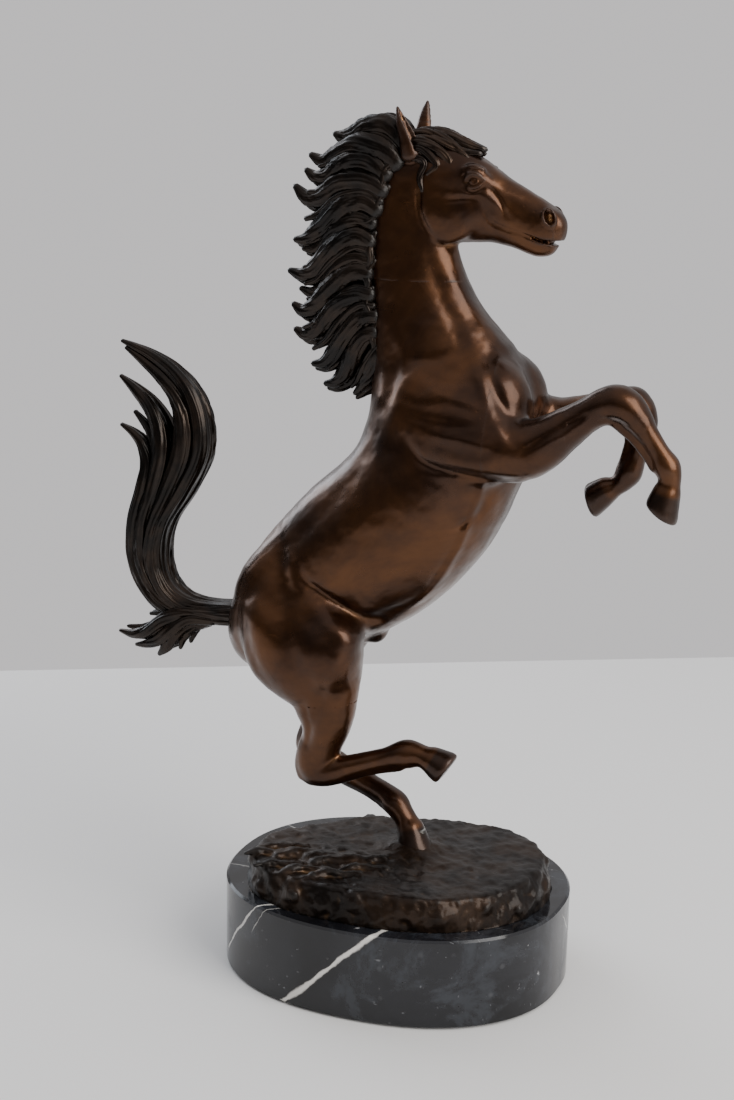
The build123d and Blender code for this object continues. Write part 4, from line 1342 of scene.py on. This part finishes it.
def patina_group():
    """Brown patina: cloudy over the surface, rubbed through on crests and dark in hollows."""
    group, given, out = new_group(
        "brown patina",
        (
            ("Place", "NodeSocketVector", (0, 0, 0)),
            ("Wear", "NodeSocketFloat", 0.5),
            ("Dark", "NodeSocketColor", (0.02, 0.01, 0.006, 1)),
            ("Brown", "NodeSocketColor", (0.1, 0.04, 0.015, 1)),
            ("Rubbed", "NodeSocketColor", (0.4, 0.2, 0.08, 1)),
            ("Clouds", "NodeSocketFloat", 30.0),
            ("Rub", "NodeSocketFloat", 0.6),
        ),
        (("Colour", "NodeSocketColor"), ("Rubbed", "NodeSocketFloat"), ("Hollow", "NodeSocketFloat")),
    )
    bench = Bench(group)
    clouds = bench.ramp(bench.noise(given["Place"], given["Clouds"], 5, 0.6, 0.4), 0.36, 0.66)
    brown = bench.mix(clouds, given["Dark"], given["Brown"])
    grain = bench.noise(given["Place"], bench.math("MULTIPLY", given["Clouds"], 9.0), 3, 0.6)
    worn = bench.math("ADD", given["Wear"], bench.math("MULTIPLY_ADD", grain, 0.24, -0.12))
    rubbed = bench.math("MULTIPLY", bench.ramp(worn, 0.56, 0.92), given["Rub"])
    hollow = bench.ramp(worn, 0.46, 0.2)
    colour = bench.mix(rubbed, brown, given["Rubbed"])
    colour = bench.mix(bench.math("MULTIPLY", hollow, 0.85), colour, given["Dark"])
    bench.feed(out["Colour"], colour)
    bench.feed(out["Rubbed"], rubbed)
    bench.feed(out["Hollow"], hollow)
    return group


def pitting_group():
    """Small casting pits and hairline scratches, as a height and a mask."""
    group, given, out = new_group(
        "pits and scratches",
        (
            ("Place", "NodeSocketVector", (0, 0, 0)),
            ("Pit Scale", "NodeSocketFloat", 220.0),
            ("Pits", "NodeSocketFloat", 0.5),
            ("Scratches", "NodeSocketFloat", 0.3),
        ),
        (("Height", "NodeSocketFloat"), ("Mask", "NodeSocketFloat")),
    )
    bench = Bench(group)
    place, pit_scale = given["Place"], given["Pit Scale"]
    cells = bench.node("ShaderNodeTexVoronoi", Vector=place, Scale=pit_scale, Randomness=1.0)
    patches = bench.ramp(bench.noise(place, bench.math("MULTIPLY", pit_scale, 0.13), 2), 0.52, 0.7)
    pits = bench.math("MULTIPLY", bench.ramp(cells.outputs["Distance"], 0.16, 0.05), patches)
    pits = bench.math("MULTIPLY", pits, given["Pits"])
    stretch = bench.node("ShaderNodeMapping", Vector=place, Rotation=(0.4, 0.7, 0.3), Scale=(60, 1500, 500))
    lines = bench.ramp(bench.noise(stretch.outputs[0], 1.0, 2, 0.5), 0.7, 0.78)
    lines = bench.math("MULTIPLY", lines, given["Scratches"])
    mask = bench.math("ADD", pits, lines, clamp=True)
    grain = bench.math("MULTIPLY", bench.noise(place, 700.0, 3), 0.12)
    bench.feed(out["Height"], bench.math("SUBTRACT", grain, mask))
    bench.feed(out["Mask"], mask)
    return group


PATINA = patina_group()
PITTING = pitting_group()
HORN_BROWN = (0.02, 0.011, 0.007, 1)


def bronze_finish(name, dark, brown, rubbed, clouds, rub, gloss, bump, pits=0.5, coat=0.35):
    """Patinated bronze under wax. Gloss is the roughness of the smooth and the dull parts."""
    material = bpy.data.materials.new(name)
    material.use_nodes = True
    bench = Bench(material.node_tree)
    shader = material.node_tree.nodes["Principled BSDF"]
    place = bench.place()
    wear = bench.node("ShaderNodeAttribute", {"attribute_name": "wear"}).outputs["Fac"]
    horn = bench.node("ShaderNodeAttribute", {"attribute_name": "horn"}).outputs["Fac"]
    brown = bench.mix(horn, (*brown, 1), HORN_BROWN)
    patina = bench.group(
        PATINA, Place=place, Wear=wear, Dark=(*dark, 1), Brown=brown, Rubbed=(*rubbed, 1),
        Clouds=clouds, Rub=rub,
    )
    marks = bench.group(PITTING, Place=place, Pits=pits, Scratches=0.25)
    colour = bench.mix(bench.math("MULTIPLY", marks["Mask"], 0.6), patina["Colour"], (*dark, 1))
    bench.feed(shader.inputs["Base Color"], colour)
    smudges = bench.ramp(bench.noise(place, 55.0, 5, 0.65), 0.35, 0.75, gloss[0], gloss[1])
    roughness = bench.math("ADD", smudges, bench.math("MULTIPLY", patina["Hollow"], 0.18))
    roughness = bench.math("ADD", roughness, bench.math("MULTIPLY", marks["Mask"], 0.25), clamp=True)
    bench.feed(shader.inputs["Roughness"], roughness)
    dirt = bench.math("MULTIPLY", patina["Hollow"], 0.35)
    bench.feed(shader.inputs["Metallic"], bench.math("SUBTRACT", 0.92, dirt))
    shader.inputs["Coat Weight"].default_value = coat
    shader.inputs["Coat Roughness"].default_value = 0.22
    relief = bench.node("ShaderNodeBump", Strength=bump, Distance=0.0006, Height=marks["Height"])
    bench.feed(shader.inputs["Normal"], relief.outputs[0])
    return material


bronze = bronze_finish(
    "waxed_brown_bronze", dark=(0.032, 0.0118, 0.0042), brown=(0.1, 0.0375, 0.0105),
    rubbed=(0.5, 0.25, 0.09), clouds=17.0, rub=0.6, gloss=(0.27, 0.4), bump=0.3,
)
dark_bronze = bronze_finish(
    "dark_hair_bronze", dark=(0.007, 0.005, 0.0038), brown=(0.024, 0.0145, 0.009),
    rubbed=(0.24, 0.15, 0.085), clouds=60.0, rub=0.85, gloss=(0.3, 0.5), bump=0.5, pits=0.7, coat=0.3,
)
rubbed_bronze = bronze_finish(
    "rubbed_forelock_bronze", dark=(0.012, 0.007, 0.0045), brown=(0.05, 0.026, 0.013),
    rubbed=(0.5, 0.3, 0.13), clouds=60.0, rub=0.9, gloss=(0.24, 0.42), bump=0.5, pits=0.7, coat=0.4,
)
rough_bronze = bronze_finish(
    "rough_ground_bronze", dark=(0.009, 0.006, 0.0045), brown=(0.03, 0.017, 0.010),
    rubbed=(0.26, 0.15, 0.07), clouds=40.0, rub=0.4, gloss=(0.38, 0.62), bump=0.9, pits=1.0, coat=0.2,
)


def vein(bench, place, facing, offset, width, wobble):
    """A thin sheet of calcite through the stone: bright where the surface crosses it."""
    bend = bench.math("SUBTRACT", bench.noise(place, 34.0, 5, 0.62), 0.5)
    bend = bench.math("MULTIPLY", bend, wobble)
    dot = bench.node("ShaderNodeVectorMath", {"operation": "DOT_PRODUCT"})
    bench.feed(dot.inputs[0], place)
    dot.inputs[1].default_value = Vector(facing).normalized()
    gap = bench.math("SUBTRACT", dot.outputs["Value"], offset)
    gap = bench.math("ABSOLUTE", bench.math("ADD", gap, bend))
    thin = bench.ramp(bench.noise(place, 90.0, 3), 0.3, 0.7, width * 0.45, width * 1.2)
    return bench.ramp(bench.math("DIVIDE", gap, thin), 1.0, 0.35)


def sheet(start, end, width, wobble, strength):
    """A vein drawn from one point to another on the stone, running on down and inwards."""
    start, end = Vector(start), Vector(end)
    middle, half_length = (start + end) / 2, (end - start).length / 2
    inwards = Vector((-middle.x, -middle.y, 0)).normalized() + Vector((0.5, 0, 0.25))
    facing = (end - start).cross(inwards).normalized()
    return tuple(facing), start.dot(facing), width, wobble, strength, middle, half_length


# The veins of the plinth in metres, the large ones first: both ends, width, wobble, strength.
MARBLE_VEINS = (
    sheet((0.015, -0.062, 0.044), (-0.029, -0.058, 0.002), 0.0017, 0.004, 1.0),
    sheet((-0.036, -0.05, 0.042), (-0.069, -0.04, 0.012), 0.0008, 0.006, 0.9),
    sheet((-0.03, -0.05, 0.042), (-0.046, -0.05, 0.026), 0.0004, 0.008, 0.5),
    sheet((-0.055, -0.02, 0.042), (-0.075, -0.03, 0.036), 0.0005, 0.006, 0.4),
    sheet((0.05, 0.05, 0.042), (0.01, 0.06, 0.004), 0.0010, 0.008, 0.9),
    sheet((-0.06, 0.03, 0.042), (-0.03, 0.06, 0.006), 0.0006, 0.008, 0.7),
    sheet((0.074, 0.0, 0.034), (0.07, 0.03, 0.008), 0.0005, 0.008, 0.5),
)
BLACK_STONE, GREY_STONE = (0.003, 0.003, 0.004, 1), (0.014, 0.015, 0.019, 1)
CALCITE, SPECK = (0.72, 0.7, 0.66, 1), (0.55, 0.55, 0.56, 1)
BLUISH_FILM, PALE_SCRATCH = (0.5, 0.58, 0.7, 1), (0.6, 0.62, 0.66, 1)


def vein_mask(bench, place):
    """All the veins, each shown only near the line it was drawn along."""
    veins = 0.0
    for facing, offset, width, wobble, strength, middle, half_length in MARBLE_VEINS:
        line = bench.math("MULTIPLY", vein(bench, place, facing, offset, width, wobble), strength)
        away = bench.node("ShaderNodeVectorMath", {"operation": "DISTANCE"})
        bench.feed(away.inputs[0], place)
        away.inputs[1].default_value = middle
        near = bench.ramp(away.outputs["Value"], half_length * 1.35, half_length)
        veins = bench.math("MAXIMUM", veins, bench.math("MULTIPLY", line, near))
    return veins


def marble_finish():
    """Polished black marble with white veins, specks and a little dust and wear."""
    material = bpy.data.materials.new("black_marble")
    material.use_nodes = True
    bench = Bench(material.node_tree)
    shader = material.node_tree.nodes["Principled BSDF"]
    place = bench.place()
    specks = bench.node("ShaderNodeTexVoronoi", Vector=place, Scale=130.0).outputs["Distance"]
    speck = bench.ramp(bench.noise(place, 260.0, 2), 0.66, 0.74)
    speck = bench.math("MULTIPLY", speck, bench.ramp(specks, 0.3, 0.1))
    clouds = bench.ramp(bench.noise(place, 18.0, 6, 0.6, 0.6), 0.35, 0.75)
    stone = bench.mix(clouds, BLACK_STONE, GREY_STONE)
    stone = bench.mix(bench.math("MULTIPLY", speck, 0.55), stone, SPECK)
    stone = bench.mix(vein_mask(bench, place), stone, CALCITE)
    marks = bench.group(PITTING, Place=place, Pit_Scale=90.0, Pits=0.25, Scratches=0.8)
    film = bench.ramp(bench.noise(place, 26.0, 6, 0.72, 0.5), 0.5, 0.62)
    stone = bench.mix(bench.math("MULTIPLY", film, 0.035), stone, BLUISH_FILM)
    stone = bench.mix(bench.math("MULTIPLY", marks["Mask"], 0.22), stone, PALE_SCRATCH)
    bench.feed(shader.inputs["Base Color"], stone)
    bench.feed(shader.inputs["Roughness"], bench.math("MULTIPLY_ADD", film, 0.16, 0.1))
    relief = bench.node("ShaderNodeBump", Strength=0.12, Distance=0.0004, Height=marks["Height"])
    bench.feed(shader.inputs["Normal"], relief.outputs[0])
    return material


def plain_finish(name, colour, other, scale, roughness, metallic, bump):
    """A simple metal or cloth whose colour and gloss vary a little over its surface."""
    material = bpy.data.materials.new(name)
    material.use_nodes = True
    bench = Bench(material.node_tree)
    shader = material.node_tree.nodes["Principled BSDF"]
    place = bench.place()
    clouds = bench.ramp(bench.noise(place, scale, 5, 0.65), 0.35, 0.7)
    marks = bench.group(PITTING, Place=place, Pit_Scale=scale * 3, Pits=0.4, Scratches=0.5)
    bench.feed(shader.inputs["Base Color"], bench.mix(clouds, (*colour, 1), (*other, 1)))
    bench.feed(shader.inputs["Roughness"], bench.math("MULTIPLY_ADD", clouds, 0.2, roughness, clamp=True))
    shader.inputs["Metallic"].default_value = metallic
    relief = bench.node("ShaderNodeBump", Strength=bump, Distance=0.0004, Height=marks["Height"])
    bench.feed(shader.inputs["Normal"], relief.outputs[0])
    return material


marble = marble_finish()
felt = plain_finish("green_black_felt", (0.02, 0.03, 0.024), (0.035, 0.05, 0.04), 900.0, 0.8, 0.0, 1.0)
steel = plain_finish("zinc_plated_steel", (0.42, 0.42, 0.4), (0.55, 0.55, 0.52), 120.0, 0.3, 1.0, 0.3)
brass = plain_finish("brass_rod", (0.62, 0.42, 0.16), (0.5, 0.32, 0.12), 90.0, 0.28, 1.0, 0.3)

# ---------------------------------------------------------------- pieces
for casting, (low, high, voxel, keep, nodes, seams) in CASTINGS.items():
    cast(casting, low, high, voxel, keep, nodes, seams, bronze)

cast_mane()
cast_tail()
cast_forelock()
cast_ground()

# The CAD's own pieces that stay in sight keep their shape and get a finish here.
SHOWN_FINISHES = {
    "marble_plinth": marble,
    "plinth_felt": felt,
    "hindleg_dowels": brass,
    "foreleg_dowels": brass,
    "mane_dowels": brass,
    "tail_dowel": brass,
}
for shown in list(bpy.data.objects):
    if shown.type != "MESH" or not shown.material_slots:
        continue
    for node, finish in SHOWN_FINISHES.items():
        if shown.name.startswith(node):
            shown.material_slots[0].material = finish
    if shown.name.startswith(("mounting_", "hoof_")):
        shown.material_slots[0].material = steel


# ---------------------------------------------------------------- light and floor
WALL_GLOW = 0.72
WALL_WHITE = (1.0, 0.975, 0.985, 1)
LIGHT_SIZE = (1.0, 1.2)
LIGHT_AIM = (0, 0, 0.25)
# The floor's far edge runs a little askew behind the statue.
FLOOR_CORNERS = ((-1.6, -2.6, 0), (2.6, -2.6, 0), (2.6, 1.82, 0), (-1.6, -0.30, 0))


def area_light(name, place, aim, size, power, colour):
    """A soft rectangular light, turned to face a point."""
    light = bpy.data.lights.new(name, "AREA")
    light.shape = "RECTANGLE"
    light.size, light.size_y = size
    light.energy = power
    light.color = colour
    made = bpy.data.objects.new(name, light)
    made.location = place
    made.rotation_euler = (Vector(aim) - Vector(place)).to_track_quat("-Z", "Y").to_euler()
    bpy.context.scene.collection.objects.link(made)


def studio_walls():
    """Pale walls behind the statue, with a darker room for the bronze to mirror and a glow
    from the window side and above."""
    world = bpy.data.worlds.new("studio")
    world.use_nodes = True
    bench = Bench(world.node_tree)
    way = bench.node("ShaderNodeTexCoord").outputs["Generated"]
    parts = bench.node("ShaderNodeSeparateXYZ", Vector=way).outputs
    above = bench.ramp(parts["Z"], 0.1, 0.9, 0.10, 0.75)
    window = bench.ramp(parts["X"], 0.35, 0.95, 0.0, 0.5)
    behind = bench.ramp(parts["Y"], 0.1, 0.9, 0.0, 0.35)
    room = bench.math("ADD", above, bench.math("ADD", window, behind))
    seen = bench.node("ShaderNodeLightPath").outputs["Is Camera Ray"]
    mirrored = bench.math("MULTIPLY", bench.math("SUBTRACT", 1.0, seen), room)
    strength = bench.math("ADD", bench.math("MULTIPLY", seen, WALL_GLOW), mirrored)
    background = world.node_tree.nodes["Background"]
    background.inputs["Color"].default_value = WALL_WHITE
    bench.feed(background.inputs["Strength"], strength)
    bpy.context.scene.world = world


area_light("window_light", (1.1, -0.5, 0.9), LIGHT_AIM, LIGHT_SIZE, 22, (1.0, 0.97, 0.92))
area_light("cool_light", (-1.2, 0.6, 0.9), LIGHT_AIM, LIGHT_SIZE, 12, (0.86, 0.92, 1.0))
studio_walls()

floor = bpy.data.objects.new("floor", bpy.data.meshes.new("floor"))
floor.data.from_pydata(FLOOR_CORNERS, [], [(0, 1, 2, 3)])
bpy.context.scene.collection.objects.link(floor)
